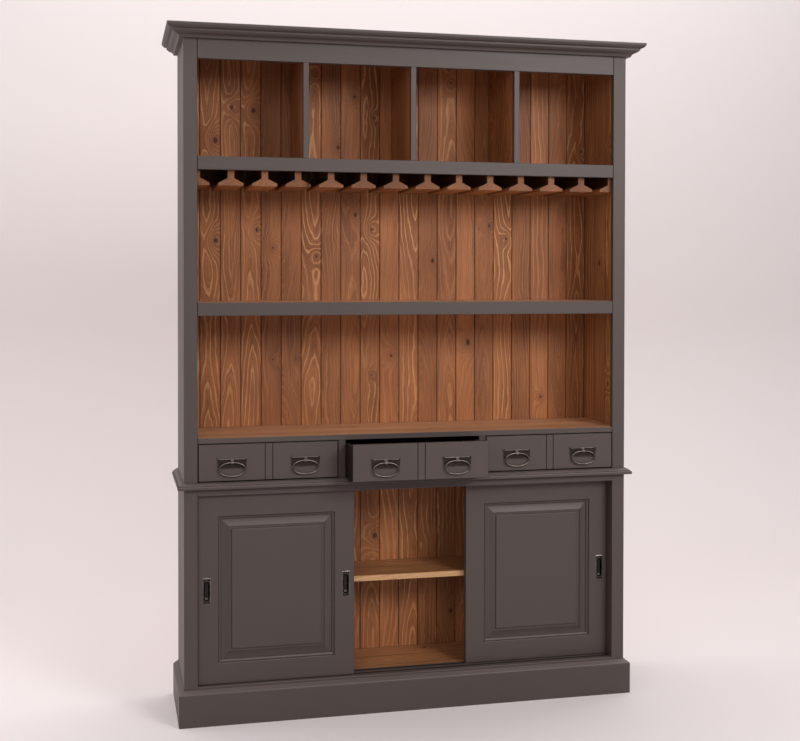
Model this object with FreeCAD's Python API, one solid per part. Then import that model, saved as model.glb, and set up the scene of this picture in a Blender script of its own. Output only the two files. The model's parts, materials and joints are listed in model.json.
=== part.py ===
import FreeCAD, Part
import math
import os

# Wine cabinet: a shelf unit with drawers that stands on a cupboard with two sliding doors.
# Millimetres. +Z is up, +Y points to the wall, +X is to the right as one faces the cabinet.
# The origin is on the floor, at the middle of the carcass's width and depth.

# Carcass
total_height = 2200.0
body_width = 1482.0
body_depth = 320.0
base_height = 746.0
side_thick = 31.0
stile_width = 43.0
frame_thick = 20.0
arris = 1.0
running_gap = 0.3

# Overrun of cuts, and how close two points are to count as one
cut_overrun = 5.0
match_tolerance = 0.001

# Tongue-and-groove back boards
back_thick = 16.0
back_recess = 20.0
back_board_width = 69.0
least_board_width = 30.0
vee_depth = 2.5
back_tongue_thick = 5.0
back_tongue_length = 6.0
back_tongue_play = 0.3

# Cupboard floor, its bearers and the two door tracks
floor_top = 120.0
floor_thick = 20.0
bearer_thick = 20.0
sill_depth = 70.0
head_thick = 22.7
base_top_thick = 20.0
track_setback = 27.0
track_pitch = 28.0
groove_width = 12.0
sill_groove_depth = 9.0
head_groove_depth = 15.0

# Loose shelf of the cupboard
loose_shelf_top = 426.0
loose_shelf_thick = 18.0
loose_shelf_setback = 75.0
loose_shelf_play = 1.5
shelf_bearer_thick = 20.0
shelf_bearer_height = 25.0

# Sliding doors
door_width = 503.0
door_thick = 24.0
door_gap = 3.0
door_end_gap = 1.5
door_tongue_play = 0.5
head_tongue_reach = 5.0
door_stile_width = 63.0
door_rail_width = 64.0
panel_setback = 11.0
panel_edge_thick = 8.0
panel_groove_depth = 9.0
panel_float = 1.5
bead_width = 10.5
bead_setback = 0.4
bevel_width = 23.5
bevel_rise = 7.0
bevel_steps = 6
bevel_power = 1.6
quirk_width = 9.0
quirk_drop = 3.0
field_setback = 2.0
field_round = 3.2

# Flush pulls of the doors
pull_plate_width = 25.0
pull_plate_length = 82.0
pull_plate_thick = 1.5
pull_plate_ease = 0.5
cup_width = 18.0
cup_length = 62.0
cup_depth = 10.0
cup_wall = 1.2
cup_play = 0.2
pull_edge_distance = 27.5
pull_height = 419.5

# Shelves and dividers of the upper part
counter_thick = 17.0
shelf_thick = 20.0
shelf_rail_height = 42.0
cubby_height = 304.5
stemware_bay_pitch = 460.0
top_rail_height = 82.0
rail_end_gap = 1.2
top_thick = 20.0
divider_thick = 18.0
divider_count = 3

# Stemware rails
slot_count = 13
slot_gap = 27.5
rail_neck_width = 21.0
rail_neck_height = 47.0
rail_shoulder_drop = 15.0
rail_edge_thick = 8.0
rail_setback = 22.0
rail_back_gap = 17.0

# Drawers
drawer_count = 3
drawer_floor_thick = 21.0
drawer_opening_height = 122.0
partition_thick = 23.0
guide_height = 30.0
drawer_gap = 2.5
drawer_front_thick = 20.0
drawer_side_thick = 12.0
drawer_side_drop = 12.0
drawer_bottom_thick = 6.0
drawer_bottom_lift = 8.0
drawer_bottom_groove = 5.0
drawer_back_gap = 9.0
faux_strip_width = 24.0
faux_groove_width = 2.5
faux_groove_depth = 4.0
middle_drawer_out = 110.0

# Ring pulls of the drawers
plate_width = 97.0
plate_height = 36.0
plate_thick = 3.0
plate_dip = 5.5
pivot_drop = 16.3
bail_standoff = 8.0
bail_width = 86.5
bail_height = 48.0
bail_flat = 15.0
bail_end_radius = 13.0
wire_diameter = 4.6
bail_facets = 4
bail_clearance = 0.05
knuckle_width = 10.8
knuckle_radius = 4.4

# Mouldings planted round the carcass
cornice_projection = 52.0
cornice_height = 41.0
cornice_rise = 20.0
waist_projection = 20.0
waist_height = 20.8
plinth_projection = 17.0
plinth_height = 114.0

# Sections as shares of projection and height; a pair of pairs is an arc through its first point
cornice_shares = [
    (0.0, 0.0), (0.25, 0.0), (0.27, 0.07),
    ((0.32, 0.17), (0.44, 0.255)),
    ((0.60, 0.355), (0.68, 0.46)),
    (0.70, 0.46), (0.70, 0.60), (0.76, 0.60),
    ((0.90, 0.68), (0.985, 0.83)),
    (1.0, 0.83), (1.0, 1.0), (0.0, 1.0),
]
waist_shares = [
    (0.0, 0.0), (0.88, 0.0),
    ((0.965, 0.035), (1.0, 0.13)),
    (1.0, 0.37),
    ((0.965, 0.47), (0.88, 0.54)),
    ((0.55, 0.79), (0.13, 0.98)),
    (0.13, 1.0), (0.0, 1.0),
]
plinth_shares = [
    (0.0, 0.0), (1.0, 0.0), (1.0, 0.87),
    ((0.98, 0.892), (0.90, 0.91)),
    (0.10, 0.99), (0.10, 1.0), (0.0, 1.0),
]
bead_shares = [
    (0.0, 0.0), (0.0, 1.0), (0.15, 0.86), (0.15, 0.42), (0.36, 0.42), (0.36, 0.62),
    ((0.79, 0.45), (1.0, 0.06)),
    (1.0, 0.0),
]
# Half outline of a pull plate, from the middle of its top edge to the middle of its foot
plate_shares = [
    ((0.89, -0.115), (1.0, 0.0)),
    (0.96, -0.70),
    ((0.91, -0.90), (0.80, -1.0)),
]
plate_top_flat_share = 0.70

# Places that follow from the sizes
V = FreeCAD.Vector
half_width = body_width / 2
half_inner = half_width - side_thick
half_opening = half_width - stile_width
rail_end = half_opening - rail_end_gap
face_y = -body_depth / 2
wall_y = body_depth / 2
frame_back_y = face_y + frame_thick
board_y = wall_y - back_recess - back_thick
sill_back_y = face_y + sill_depth
head_bottom = base_height - head_thick
hutch_top = total_height - cornice_rise
top_rail_bottom = hutch_top - top_rail_height
top_board_bottom = hutch_top - top_thick
cubby_shelf_top = top_rail_bottom - cubby_height
middle_shelf_top = cubby_shelf_top - stemware_bay_pitch
drawer_floor_top = base_height + drawer_floor_thick
drawer_ceiling = drawer_floor_top + drawer_opening_height
counter_top = drawer_ceiling + counter_thick
drawer_opening_width = (2 * half_opening - (drawer_count - 1) * partition_thick) / drawer_count
drawer_pitch = drawer_opening_width + partition_thick
cubby_pitch = (2 * half_opening + divider_thick) / (divider_count + 1)
slot_pitch = 2 * half_opening / slot_count
pull_pivot_z = (drawer_floor_top + drawer_ceiling) / 2


def board(x0, x1, y0, y1, z0, z1):
    """A plain board between two corners."""
    return Part.makeBox(x1 - x0, y1 - y0, z1 - z0, V(x0, y0, z0))


def eased(shape, ease, on_edge):
    """The shape with the edges chamfered whose two ends pass the test."""
    edges = [e for e in shape.Edges if all(on_edge(v.Point) for v in e.Vertexes)]
    return shape.makeChamfer(ease, edges)


def faced_board(x0, x1, y0, y1, z0, z1, ease=arris):
    """A board whose front face has its four edges eased."""
    return eased(board(x0, x1, y0, y1, z0, z1), ease, lambda p: abs(p.y - y0) < match_tolerance)


def outline(points):
    """A closed face through points; a pair of points is an arc through the first to the second."""
    edges = []
    here = points[0]
    for step in points[1:]:
        if isinstance(step, tuple):
            middle, end = step
            edges.append(Part.Arc(here, middle, end).toShape())
        else:
            end = step
            edges.append(Part.LineSegment(here, end).toShape())
        here = end
    if here.distanceToPoint(points[0]) > match_tolerance:
        edges.append(Part.LineSegment(here, points[0]).toShape())
    return Part.Face(Part.Wire(edges))


def placed_shares(shares, place):
    """Points from a table of shares, where place turns two shares into a point."""
    points = []
    for share in shares:
        if isinstance(share[0], tuple):
            points.append((place(*share[0]), place(*share[1])))
        else:
            points.append(place(*share))
    return points


def plan_prism(plan, z0, z1):
    """An upright prism on a plan outline of x, y pairs."""
    return outline([V(x, y, z0) for x, y in plan]).extrude(V(0, 0, z1 - z0))


def save(name, *solids):
    """Write the solids of one node."""
    shape = solids[0] if len(solids) == 1 else Part.makeCompound(list(solids))
    shape.exportStep(os.path.join("parts", name + ".step"))


def surround(shares, projection, height, foot):
    """A moulding planted round the carcass: front run and two returns, mitred at the corners."""
    reach = half_width + projection
    nose_y = face_y - projection
    section = outline(placed_shares(
        shares, lambda p, h: V(-reach, face_y - p * projection, foot + h * height)))
    plan = [(-reach, nose_y), (reach, nose_y), (half_width, face_y), (-half_width, face_y)]
    runs = [section.extrude(V(2 * reach, 0, 0)).common(plan_prism(plan, foot, foot + height))]
    for hand in (-1, 1):
        section = outline(placed_shares(
            shares, lambda p, h: V(hand * (half_width + p * projection), nose_y, foot + h * height)))
        plan = [(hand * half_width, face_y), (hand * reach, nose_y),
                (hand * reach, wall_y), (hand * half_width, wall_y)]
        run = section.extrude(V(0, wall_y - nose_y, 0))
        runs.append(run.common(plan_prism(plan, foot, foot + height)))
    return runs


def sides(foot, head):
    """The two side boards of a module."""
    left = board(-half_width, -half_inner, frame_back_y, wall_y, foot, head)
    right = board(half_inner, half_width, frame_back_y, wall_y, foot, head)
    return left, right


def stiles(foot, head):
    """The two face-frame stiles of a module."""
    left = faced_board(-half_width, -half_opening, face_y, frame_back_y, foot, head)
    right = faced_board(half_opening, half_width, face_y, frame_back_y, foot, head)
    return left, right


def back_boards(foot, head):
    """Tongue-and-groove boards laid from the right, with a vee at each joint; the last is trimmed."""
    tongue_y0 = board_y + (back_thick - back_tongue_thick) / 2
    tongue_y1 = tongue_y0 + back_tongue_thick
    joints = [half_inner]
    while joints[0] - back_board_width > least_board_width - half_inner:
        joints.insert(0, joints[0] - back_board_width)
    joints.insert(0, -half_inner)
    boards = []
    for left, right in zip(joints, joints[1:]):
        plan = [(left + vee_depth, board_y), (right - vee_depth, board_y), (right, board_y + vee_depth)]
        if right < half_inner:
            tip = right + back_tongue_length
            plan += [(right, tongue_y0), (tip, tongue_y0), (tip, tongue_y1), (right, tongue_y1)]
        plan += [(right, board_y + back_thick), (left, board_y + back_thick)]
        if left > -half_inner:
            groove_end = left + back_tongue_length + back_tongue_play
            groove_y0 = tongue_y0 - back_tongue_play
            groove_y1 = tongue_y1 + back_tongue_play
            plan += [(left, groove_y1), (groove_end, groove_y1), (groove_end, groove_y0), (left, groove_y0)]
        plan.append((left, board_y + vee_depth))
        boards.append(plan_prism(plan, foot, head))
    return boards


def between_stiles(shape, foot, head):
    """A full-width board notched round the two stiles."""
    for hand in (-1, 1):
        inner, outer = sorted((hand * half_opening, hand * (half_inner + cut_overrun)))
        shape = shape.cut(board(inner, outer, face_y - cut_overrun, frame_back_y, foot, head))
    return shape


def track_y(track):
    """Middle of the front (0) or rear (1) door track."""
    return face_y + track_setback + track * track_pitch


def tracked_board(z0, z1, groove_z0, groove_z1):
    """Sill or head of the door opening, with two grooves that stop at the stiles."""
    shape = board(-half_inner, half_inner, face_y, sill_back_y, z0, z1)
    shape = eased(shape, arris, lambda p: abs(p.y - face_y) < match_tolerance)
    for track in (0, 1):
        y0 = track_y(track) - groove_width / 2
        shape = shape.cut(board(-half_opening, half_opening, y0, y0 + groove_width, groove_z0, groove_z1))
    return between_stiles(shape, z0 - cut_overrun, z1 + cut_overrun)


def build_base():
    """The lower cupboard without its doors."""
    floor_bottom = floor_top - floor_thick
    left, right = sides(0, base_height)
    save("base_side_left", left)
    save("base_side_right", right)
    save("base_stiles", *stiles(0, base_height))
    save("base_toe_rail", board(-half_opening, half_opening, face_y, frame_back_y, 0, floor_bottom))
    save("base_plinth", *surround(plinth_shares, plinth_projection, plinth_height, 0))
    back_bearer_y = board_y - bearer_thick
    save("floor_bearers",
         board(-bearer_thick / 2, bearer_thick / 2, frame_back_y, back_bearer_y, 0, floor_bottom),
         board(-half_inner, half_inner, back_bearer_y, board_y, 0, floor_bottom))
    save("door_sill", tracked_board(
        floor_bottom, floor_top, floor_top - sill_groove_depth, floor_top + cut_overrun))
    save("door_head", tracked_board(
        head_bottom, base_height, head_bottom - cut_overrun, head_bottom + head_groove_depth))
    save("door_stops",
         board(-half_inner, -half_opening, frame_back_y, sill_back_y, floor_top, head_bottom),
         board(half_opening, half_inner, frame_back_y, sill_back_y, floor_top, head_bottom))
    save("base_floor", board(-half_inner, half_inner, sill_back_y, board_y, floor_bottom, floor_top))
    save("base_top_board", board(
        -half_inner, half_inner, sill_back_y, board_y, base_height - base_top_thick, base_height))
    save("base_back_boards", *back_boards(floor_bottom, base_height))
    build_loose_shelf()


def build_loose_shelf():
    """The cupboard's loose shelf and the bearers that it lies on."""
    front = face_y + loose_shelf_setback
    bottom = loose_shelf_top - loose_shelf_thick
    end = half_inner - loose_shelf_play
    save("base_shelf", faced_board(-end, end, front, board_y, bottom, loose_shelf_top))
    bearer_foot = bottom - shelf_bearer_height
    bearer_x = half_inner - shelf_bearer_thick
    save("shelf_bearers",
         board(-half_inner, -bearer_x, front, board_y, bearer_foot, bottom),
         board(bearer_x, half_inner, front, board_y, bearer_foot, bottom),
         board(-bearer_x, bearer_x, board_y - shelf_bearer_thick, board_y, bearer_foot, bottom))


def build_hutch():
    """The upper part without its drawers."""
    left, right = sides(base_height, hutch_top)
    save("hutch_side_left", left)
    save("hutch_side_right", right)
    save("hutch_stiles", *stiles(base_height, hutch_top))
    floor = board(-half_inner, half_inner, face_y, board_y, base_height, drawer_floor_top)
    save("hutch_floor", between_stiles(floor, base_height - cut_overrun, drawer_floor_top + cut_overrun))
    save("hutch_top_rail", faced_board(
        -rail_end, rail_end, face_y, frame_back_y, top_rail_bottom, hutch_top))
    save("hutch_top_board", board(
        -half_inner, half_inner, frame_back_y, board_y, top_board_bottom, hutch_top))
    save("hutch_back_boards", *back_boards(base_height, hutch_top))
    save("waist_moulding", *surround(waist_shares, waist_projection, waist_height, base_height))
    save("cornice", *surround(
        cornice_shares, cornice_projection, cornice_height, total_height - cornice_height))
    build_drawer_bay()
    build_shelves()
    build_stemware_rails()


def build_drawer_bay():
    """Partitions and guides of the drawers, and the counter over them."""
    partitions = []
    for n in range(drawer_count - 1):
        x0 = -half_opening + drawer_opening_width + n * drawer_pitch
        partitions.append(faced_board(
            x0, x0 + partition_thick, face_y, board_y, drawer_floor_top, drawer_ceiling))
    save("drawer_partitions", *partitions)
    guide_top = drawer_floor_top + guide_height
    save("drawer_guides",
         board(-half_inner, -half_opening, frame_back_y, board_y, drawer_floor_top, guide_top),
         board(half_opening, half_inner, frame_back_y, board_y, drawer_floor_top, guide_top))
    save("counter_rail", faced_board(
        -rail_end, rail_end, face_y, frame_back_y, drawer_ceiling, counter_top))
    save("counter_board", board(
        -half_inner, half_inner, frame_back_y, board_y, drawer_ceiling, counter_top))


def shelf_board(top):
    """A fixed shelf board between the sides."""
    return board(-half_inner, half_inner, frame_back_y, board_y, top - shelf_thick, top)


def shelf_rail(top):
    """The rail on a fixed shelf's front edge."""
    return faced_board(-rail_end, rail_end, face_y, frame_back_y, top - shelf_rail_height, top)


def build_shelves():
    """Fixed shelves, their front rails, and the cubby dividers with painted lippings."""
    save("middle_shelf", shelf_board(middle_shelf_top))
    save("cubby_shelf", shelf_board(cubby_shelf_top))
    save("shelf_rails", shelf_rail(middle_shelf_top), shelf_rail(cubby_shelf_top))
    dividers = []
    lippings = []
    for n in range(divider_count):
        x1 = -half_opening + (n + 1) * cubby_pitch
        x0 = x1 - divider_thick
        dividers.append(board(x0, x1, frame_back_y, board_y, cubby_shelf_top, top_board_bottom))
        lippings.append(faced_board(x0, x1, face_y, frame_back_y, cubby_shelf_top, top_rail_bottom))
    save("cubby_dividers", *dividers)
    save("divider_lippings", *lippings)


def build_stemware_rails():
    """Inverted-T rails under the cubby shelf; the end ones are cut off at the sides."""
    neck = rail_neck_width / 2
    flange = (slot_pitch - slot_gap) / 2
    top = cubby_shelf_top - shelf_thick
    shoulder = top - rail_neck_height
    edge_top = shoulder - rail_shoulder_drop
    bottom = edge_top - rail_edge_thick
    y0 = face_y + rail_setback
    y1 = board_y - rail_back_gap
    inside = board(-half_inner, half_inner, y0, y1, bottom, top)
    rails = []
    for n in range(slot_count + 1):
        x = -half_opening + n * slot_pitch
        half = [(neck, top), (neck, shoulder), (flange, edge_top), (flange, bottom)]
        section = [V(x + a, y0, z) for a, z in half] + [V(x - a, y0, z) for a, z in reversed(half)]
        rails.append(outline(section).extrude(V(0, y1 - y0, 0)).common(inside))
    save("stemware_rails", *rails)


def oblong(x, y, z, width, length, depth):
    """An upright slot-shaped prism about x and z, going back from y."""
    r = width / 2
    s = length / 2 - r
    return outline([
        V(x - r, y, z - s), (V(x, y, z - s - r), V(x + r, y, z - s)),
        V(x + r, y, z + s), (V(x, y, z + s + r), V(x - r, y, z + s)),
    ]).extrude(V(0, depth, 0))


def flush_pull(x, y):
    """A plate with a finger cup, let into a door whose face is at y."""
    half_length = pull_plate_length / 2
    plate_y = y - pull_plate_thick
    plate = faced_board(x - pull_plate_width / 2, x + pull_plate_width / 2, plate_y, y,
                        pull_height - half_length, pull_height + half_length, pull_plate_ease)
    cup = oblong(x, y, pull_height, cup_width + 2 * cup_wall, cup_length + 2 * cup_wall,
                 cup_depth + cup_wall)
    hollow = oblong(x, plate_y - cut_overrun, pull_height, cup_width, cup_length,
                    cup_depth + pull_plate_thick + cut_overrun)
    return plate.fuse(cup).cut(hollow).removeSplitter()


def cup_mortise(x, y):
    """The space that a flush pull's cup takes in its door."""
    wall = 2 * (cup_wall + cup_play)
    return oblong(x, y - cut_overrun, pull_height, cup_width + wall, cup_length + wall,
                  cup_depth + cup_wall + cup_play + cut_overrun)


def bead_strip(start, end, inward):
    """One mitred panel bead from corner to corner of a door's opening."""
    along = (end - start).normalize()
    depth = panel_setback - bead_setback
    section = outline(placed_shares(
        bead_shares, lambda u, d: start + inward * (u * bead_width) - V(0, d * depth, 0)))
    miter = bead_width
    plan = outline([start, end, end + (inward - along) * miter, start + (inward + along) * miter])
    return section.extrude(end - start).common(plan.extrude(V(0, -depth, 0)))


def raised_panel(x0, x1, z0, z1, y):
    """A raised and fielded panel with hollow bevels; y is the face of the door frame."""
    def slab(inset, y_front, y_back):
        return board(x0 + inset, x1 - inset, y_front, y_back, z0 + inset, z1 - inset)

    def rectangle(inset, at_y):
        corners = [(x0 + inset, z0 + inset), (x1 - inset, z0 + inset),
                   (x1 - inset, z1 - inset), (x0 + inset, z1 - inset)]
        return outline([V(a, at_y, b) for a, b in corners]).OuterWire

    edge_y = y + panel_setback
    crest_y = edge_y - bevel_rise
    quirk_y = crest_y + quirk_drop
    field_y = y + field_setback
    crest_inset = bead_width + bevel_width
    steps = [n / bevel_steps for n in range(bevel_steps + 1)]
    bevel = Part.makeLoft([
        rectangle(bead_width + s * bevel_width, edge_y - s ** bevel_power * bevel_rise) for s in steps
    ], True, True)
    bevel = bevel.cut(slab(crest_inset, crest_y - cut_overrun, quirk_y))
    field = slab(crest_inset + quirk_width, field_y, edge_y)
    front_edges = [e for e in field.Edges
                   if all(abs(v.Y - field_y) < match_tolerance for v in e.Vertexes)]
    field = field.makeFillet(field_round, front_edges)
    edge = slab(panel_float - panel_groove_depth, edge_y, edge_y + panel_edge_thick)
    return edge.fuse([bevel, field]).removeSplitter()


def build_door(name, track, x0, pull_places):
    """A frame-and-panel door that runs on tongues in the sill and the head."""
    x1 = x0 + door_width
    y0 = track_y(track) - door_thick / 2
    y1 = y0 + door_thick
    foot = floor_top + door_gap
    head = head_bottom - door_gap
    tongue_y0 = track_y(track) - groove_width / 2 + door_tongue_play
    tongue_y1 = tongue_y0 + groove_width - 2 * door_tongue_play
    tongue_foot = floor_top - sill_groove_depth + running_gap
    tongue_head = head_bottom + head_tongue_reach
    open_x0 = x0 + door_stile_width
    open_x1 = x1 - door_stile_width
    open_z0 = foot + door_rail_width
    open_z1 = head - door_rail_width
    edge_y0 = y0 + panel_setback
    edge_y1 = edge_y0 + panel_edge_thick
    groove_x0 = open_x0 - panel_groove_depth
    groove_x1 = open_x1 + panel_groove_depth
    panel_space = board(groove_x0, groove_x1, edge_y0, edge_y1,
                        open_z0 - panel_groove_depth, open_z1 + panel_groove_depth)
    tenon_space = board(groove_x0, groove_x1, edge_y0, edge_y1, foot - cut_overrun, head + cut_overrun)

    def stile(a, b, outer):
        plain = board(a, b, y0, y1, foot, head)
        body = eased(plain, arris,
                     lambda p: abs(p.y - y0) < match_tolerance and abs(p.x - outer) < match_tolerance)
        tongues = [board(a, b, tongue_y0, tongue_y1, tongue_foot, foot),
                   board(a, b, tongue_y0, tongue_y1, head, tongue_head)]
        return body.cut(tenon_space).fuse(tongues).removeSplitter()

    def rail(z0, z1, tongue_z0, tongue_z1):
        body = board(open_x0, open_x1, y0, y1, z0, z1)
        tenons = board(groove_x0, groove_x1, edge_y0, edge_y1, z0, z1)
        tongue = board(open_x0, open_x1, tongue_y0, tongue_y1, tongue_z0, tongue_z1)
        return body.fuse([tenons, tongue]).cut(panel_space).removeSplitter()

    frame = [stile(x0, open_x0, x0), stile(open_x1, x1, x1),
             rail(foot, open_z0, tongue_foot, foot), rail(open_z1, head, head, tongue_head)]
    for place in pull_places:
        frame = [piece.cut(cup_mortise(place, y0)) for piece in frame]
    save(name + "_door_frame", *frame)
    save(name + "_door_panel", raised_panel(open_x0, open_x1, open_z0, open_z1, y0))
    corners = [V(open_x0, edge_y0, open_z0), V(open_x1, edge_y0, open_z0),
               V(open_x1, edge_y0, open_z1), V(open_x0, edge_y0, open_z1)]
    inwards = [V(0, 0, 1), V(-1, 0, 0), V(0, 0, -1), V(1, 0, 0)]
    beads = [bead_strip(corners[n], corners[(n + 1) % 4], inwards[n]) for n in range(4)]
    save(name + "_door_beads", *beads)
    save(name + "_door_pulls", *[flush_pull(place, y0) for place in pull_places])


def build_doors():
    """Left door in the front track, right door in the rear track, with the middle bay open."""
    left_x0 = -half_opening + door_end_gap
    right_x0 = half_opening - door_end_gap - door_width
    left_pulls = [left_x0 + pull_edge_distance, left_x0 + door_width - pull_edge_distance]
    right_pulls = [right_x0 + door_width - pull_edge_distance]
    build_door("left", 0, left_x0, left_pulls)
    build_door("right", 1, right_x0, right_pulls)


def pull_plate(x, y):
    """A horned back plate with a strap that ends in a knuckle; y is the face of the drawer."""
    top = pull_pivot_z + pivot_drop
    dip_z = top - plate_dip
    foot = top - plate_height
    half = plate_width / 2
    plate_y = y - plate_thick
    axis_y = y - bail_standoff
    sweep = placed_shares(plate_shares, lambda a, h: V(x + a * half, plate_y, top + h * plate_height))
    edge = [V(x, plate_y, dip_z), V(x + plate_top_flat_share * half, plate_y, dip_z)]
    right = outline(edge + sweep + [V(x, plate_y, foot)]).extrude(V(0, plate_thick, 0))
    left = right.mirror(V(x, 0, 0), V(1, 0, 0))
    knuckle_x = x - knuckle_width / 2
    knuckle_top = pull_pivot_z + knuckle_radius
    knuckle_foot = pull_pivot_z - knuckle_radius
    strap = outline([
        V(knuckle_x, plate_y, dip_z), V(knuckle_x, axis_y, knuckle_top),
        (V(knuckle_x, axis_y - knuckle_radius, pull_pivot_z), V(knuckle_x, axis_y, knuckle_foot)),
        V(knuckle_x, plate_y, knuckle_foot),
    ]).extrude(V(knuckle_width, 0, 0))
    bore = Part.makeCylinder(wire_diameter / 2 + bail_clearance, knuckle_width + 2 * cut_overrun,
                             V(knuckle_x - cut_overrun, axis_y, pull_pivot_z), V(1, 0, 0))
    return right.fuse([left, strap]).removeSplitter().cut(bore)


def bail(x, y):
    """An oval ring of faceted bar with a round journal at its top, which turns in the knuckle."""
    a = (bail_width - wire_diameter - bail_flat) / 2
    b = (bail_height - wire_diameter) / 2
    s = bail_flat / 2
    r = bail_end_radius
    crown = ((a - r) ** 2 + b ** 2 - r ** 2) / (2 * (b - r))
    crown_turn = math.degrees(math.atan2(a - r, crown - b))
    middle = V(x, y - bail_standoff, pull_pivot_z - b)
    corners = [math.radians((n + 0.5) * 360 / bail_facets) for n in range(bail_facets)]
    spoke = wire_diameter / 2 / math.cos(math.pi / bail_facets)
    bar = outline([middle + V(s, spoke * math.cos(t), b + spoke * math.sin(t)) for t in corners])
    bends = [(s, b - crown, crown_turn), (s + a - r, 0, 180 - 2 * crown_turn), (s, crown - b, crown_turn)]
    ring = []
    for bend_x, bend_z, turn in bends:
        centre = middle + V(bend_x, 0, bend_z)
        ring.append(bar.revolve(centre, V(0, 1, 0), turn))
        bar = bar.rotated(centre, V(0, 1, 0), turn)
    ring += [piece.mirror(middle, V(1, 0, 0)) for piece in ring]
    ring.append(bar.extrude(V(-bail_flat, 0, 0)))
    journal = Part.makeCylinder(wire_diameter / 2, bail_flat, middle + V(-s, 0, b), V(1, 0, 0))
    return journal.fuse(ring).removeSplitter()


def build_drawer(name, opening_x0, out):
    """A drawer with a front grooved like two, pulled out by a given length."""
    x0 = opening_x0 + drawer_gap
    x1 = opening_x0 + drawer_opening_width - drawer_gap
    x = (x0 + x1) / 2
    y0 = face_y - out
    box_y0 = y0 + drawer_front_thick
    box_y1 = board_y - drawer_back_gap - out
    side_foot = drawer_floor_top + running_gap
    side_head = drawer_ceiling - drawer_side_drop
    bottom_z0 = side_foot + drawer_bottom_lift
    bottom_z1 = bottom_z0 + drawer_bottom_thick
    inner_x0 = x0 + drawer_side_thick
    inner_x1 = x1 - drawer_side_thick
    bottom = board(inner_x0 - drawer_bottom_groove, inner_x1 + drawer_bottom_groove,
                   box_y0 - drawer_bottom_groove, box_y1, bottom_z0, bottom_z1)
    front = faced_board(x0, x1, y0, box_y0, drawer_floor_top + drawer_gap, drawer_ceiling - drawer_gap)
    for hand in (-1, 1):
        groove_x = x + hand * faux_strip_width / 2
        front = front.cut(board(
            groove_x - faux_groove_width / 2, groove_x + faux_groove_width / 2,
            y0 - cut_overrun, y0 + faux_groove_depth, drawer_floor_top, drawer_ceiling))
    save(name + "_drawer_front", front.cut(bottom))
    save(name + "_drawer_box",
         board(x0, inner_x0, box_y0, box_y1, side_foot, side_head).cut(bottom),
         board(inner_x1, x1, box_y0, box_y1, side_foot, side_head).cut(bottom),
         board(inner_x0, inner_x1, box_y1 - drawer_side_thick, box_y1, bottom_z1, side_head))
    save(name + "_drawer_bottom", bottom)
    reach = (x1 - x + faux_strip_width / 2) / 2
    save(name + "_drawer_plates", pull_plate(x - reach, y0), pull_plate(x + reach, y0))
    save(name + "_drawer_bail_left", bail(x - reach, y0))
    save(name + "_drawer_bail_right", bail(x + reach, y0))


def build_drawers():
    """Three drawers in a row; the middle one stands open."""
    for n, (name, out) in enumerate((("left", 0), ("middle", middle_drawer_out), ("right", 0))):
        build_drawer(name, -half_opening + n * drawer_pitch, out)


os.makedirs("parts", exist_ok=True)
build_base()
build_doors()
build_hutch()
build_drawers()
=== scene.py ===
"""Finishes and hardware for a painted wine cabinet with stained pine shelves.

The carcass, doors and drawers come from the frame. This file paints and stains them, makes the
waist moulding, drawer rings, back plates, flush pulls and screws as surfaces, and sets up a plain
studio.
"""

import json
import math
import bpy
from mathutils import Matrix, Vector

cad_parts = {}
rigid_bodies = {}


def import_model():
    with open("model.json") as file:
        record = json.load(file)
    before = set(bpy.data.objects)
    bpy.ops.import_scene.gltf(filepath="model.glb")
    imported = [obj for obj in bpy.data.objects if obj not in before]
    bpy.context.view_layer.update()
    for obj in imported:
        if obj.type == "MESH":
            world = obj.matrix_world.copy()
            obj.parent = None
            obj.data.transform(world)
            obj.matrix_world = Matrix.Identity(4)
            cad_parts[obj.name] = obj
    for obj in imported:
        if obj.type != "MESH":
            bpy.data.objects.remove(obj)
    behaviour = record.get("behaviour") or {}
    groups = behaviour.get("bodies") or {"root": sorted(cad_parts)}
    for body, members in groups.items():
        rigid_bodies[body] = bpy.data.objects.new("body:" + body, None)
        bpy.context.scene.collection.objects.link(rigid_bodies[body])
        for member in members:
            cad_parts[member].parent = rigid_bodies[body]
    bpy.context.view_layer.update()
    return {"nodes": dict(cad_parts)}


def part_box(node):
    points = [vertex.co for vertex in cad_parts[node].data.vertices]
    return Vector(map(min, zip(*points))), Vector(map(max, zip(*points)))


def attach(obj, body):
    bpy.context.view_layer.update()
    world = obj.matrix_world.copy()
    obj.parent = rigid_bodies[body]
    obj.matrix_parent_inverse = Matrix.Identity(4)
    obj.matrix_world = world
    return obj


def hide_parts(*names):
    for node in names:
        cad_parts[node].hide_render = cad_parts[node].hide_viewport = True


bl_info = {
    "name": "Wine Cabinet Finish",
    "version": (1, 0, 0),
    "blender": (4, 5, 0),
    "location": "View3D > Sidebar > Wine Cabinet",
    "description": "Paint, stain and hardware for a wine cabinet with sliding doors",
    "category": "Object",
}

import bmesh
import bpy
import numpy as np
from bpy.props import FloatProperty, FloatVectorProperty, PointerProperty
from mathutils import Matrix, Vector

# The start-up scene's own objects make way for the frame
for start_object in list(bpy.data.objects):
    bpy.data.objects.remove(start_object)

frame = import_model()

DRAWERS = ("left", "middle", "right")
HANDS = ("left", "right")
MM = 0.001

# Tongue-and-groove boards across the back, stemware slots, strips of a glued-up board, and the
# board that a drawer's sides are cut from
BACK_BOARD_COUNT = 21
BACK_BOARD_WIDTH = 0.069
STEMWARE_SLOT_COUNT = 13
GLUED_STRIP_WIDTH = 0.094
DRAWER_SIDE_WIDTH = 0.16

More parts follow.
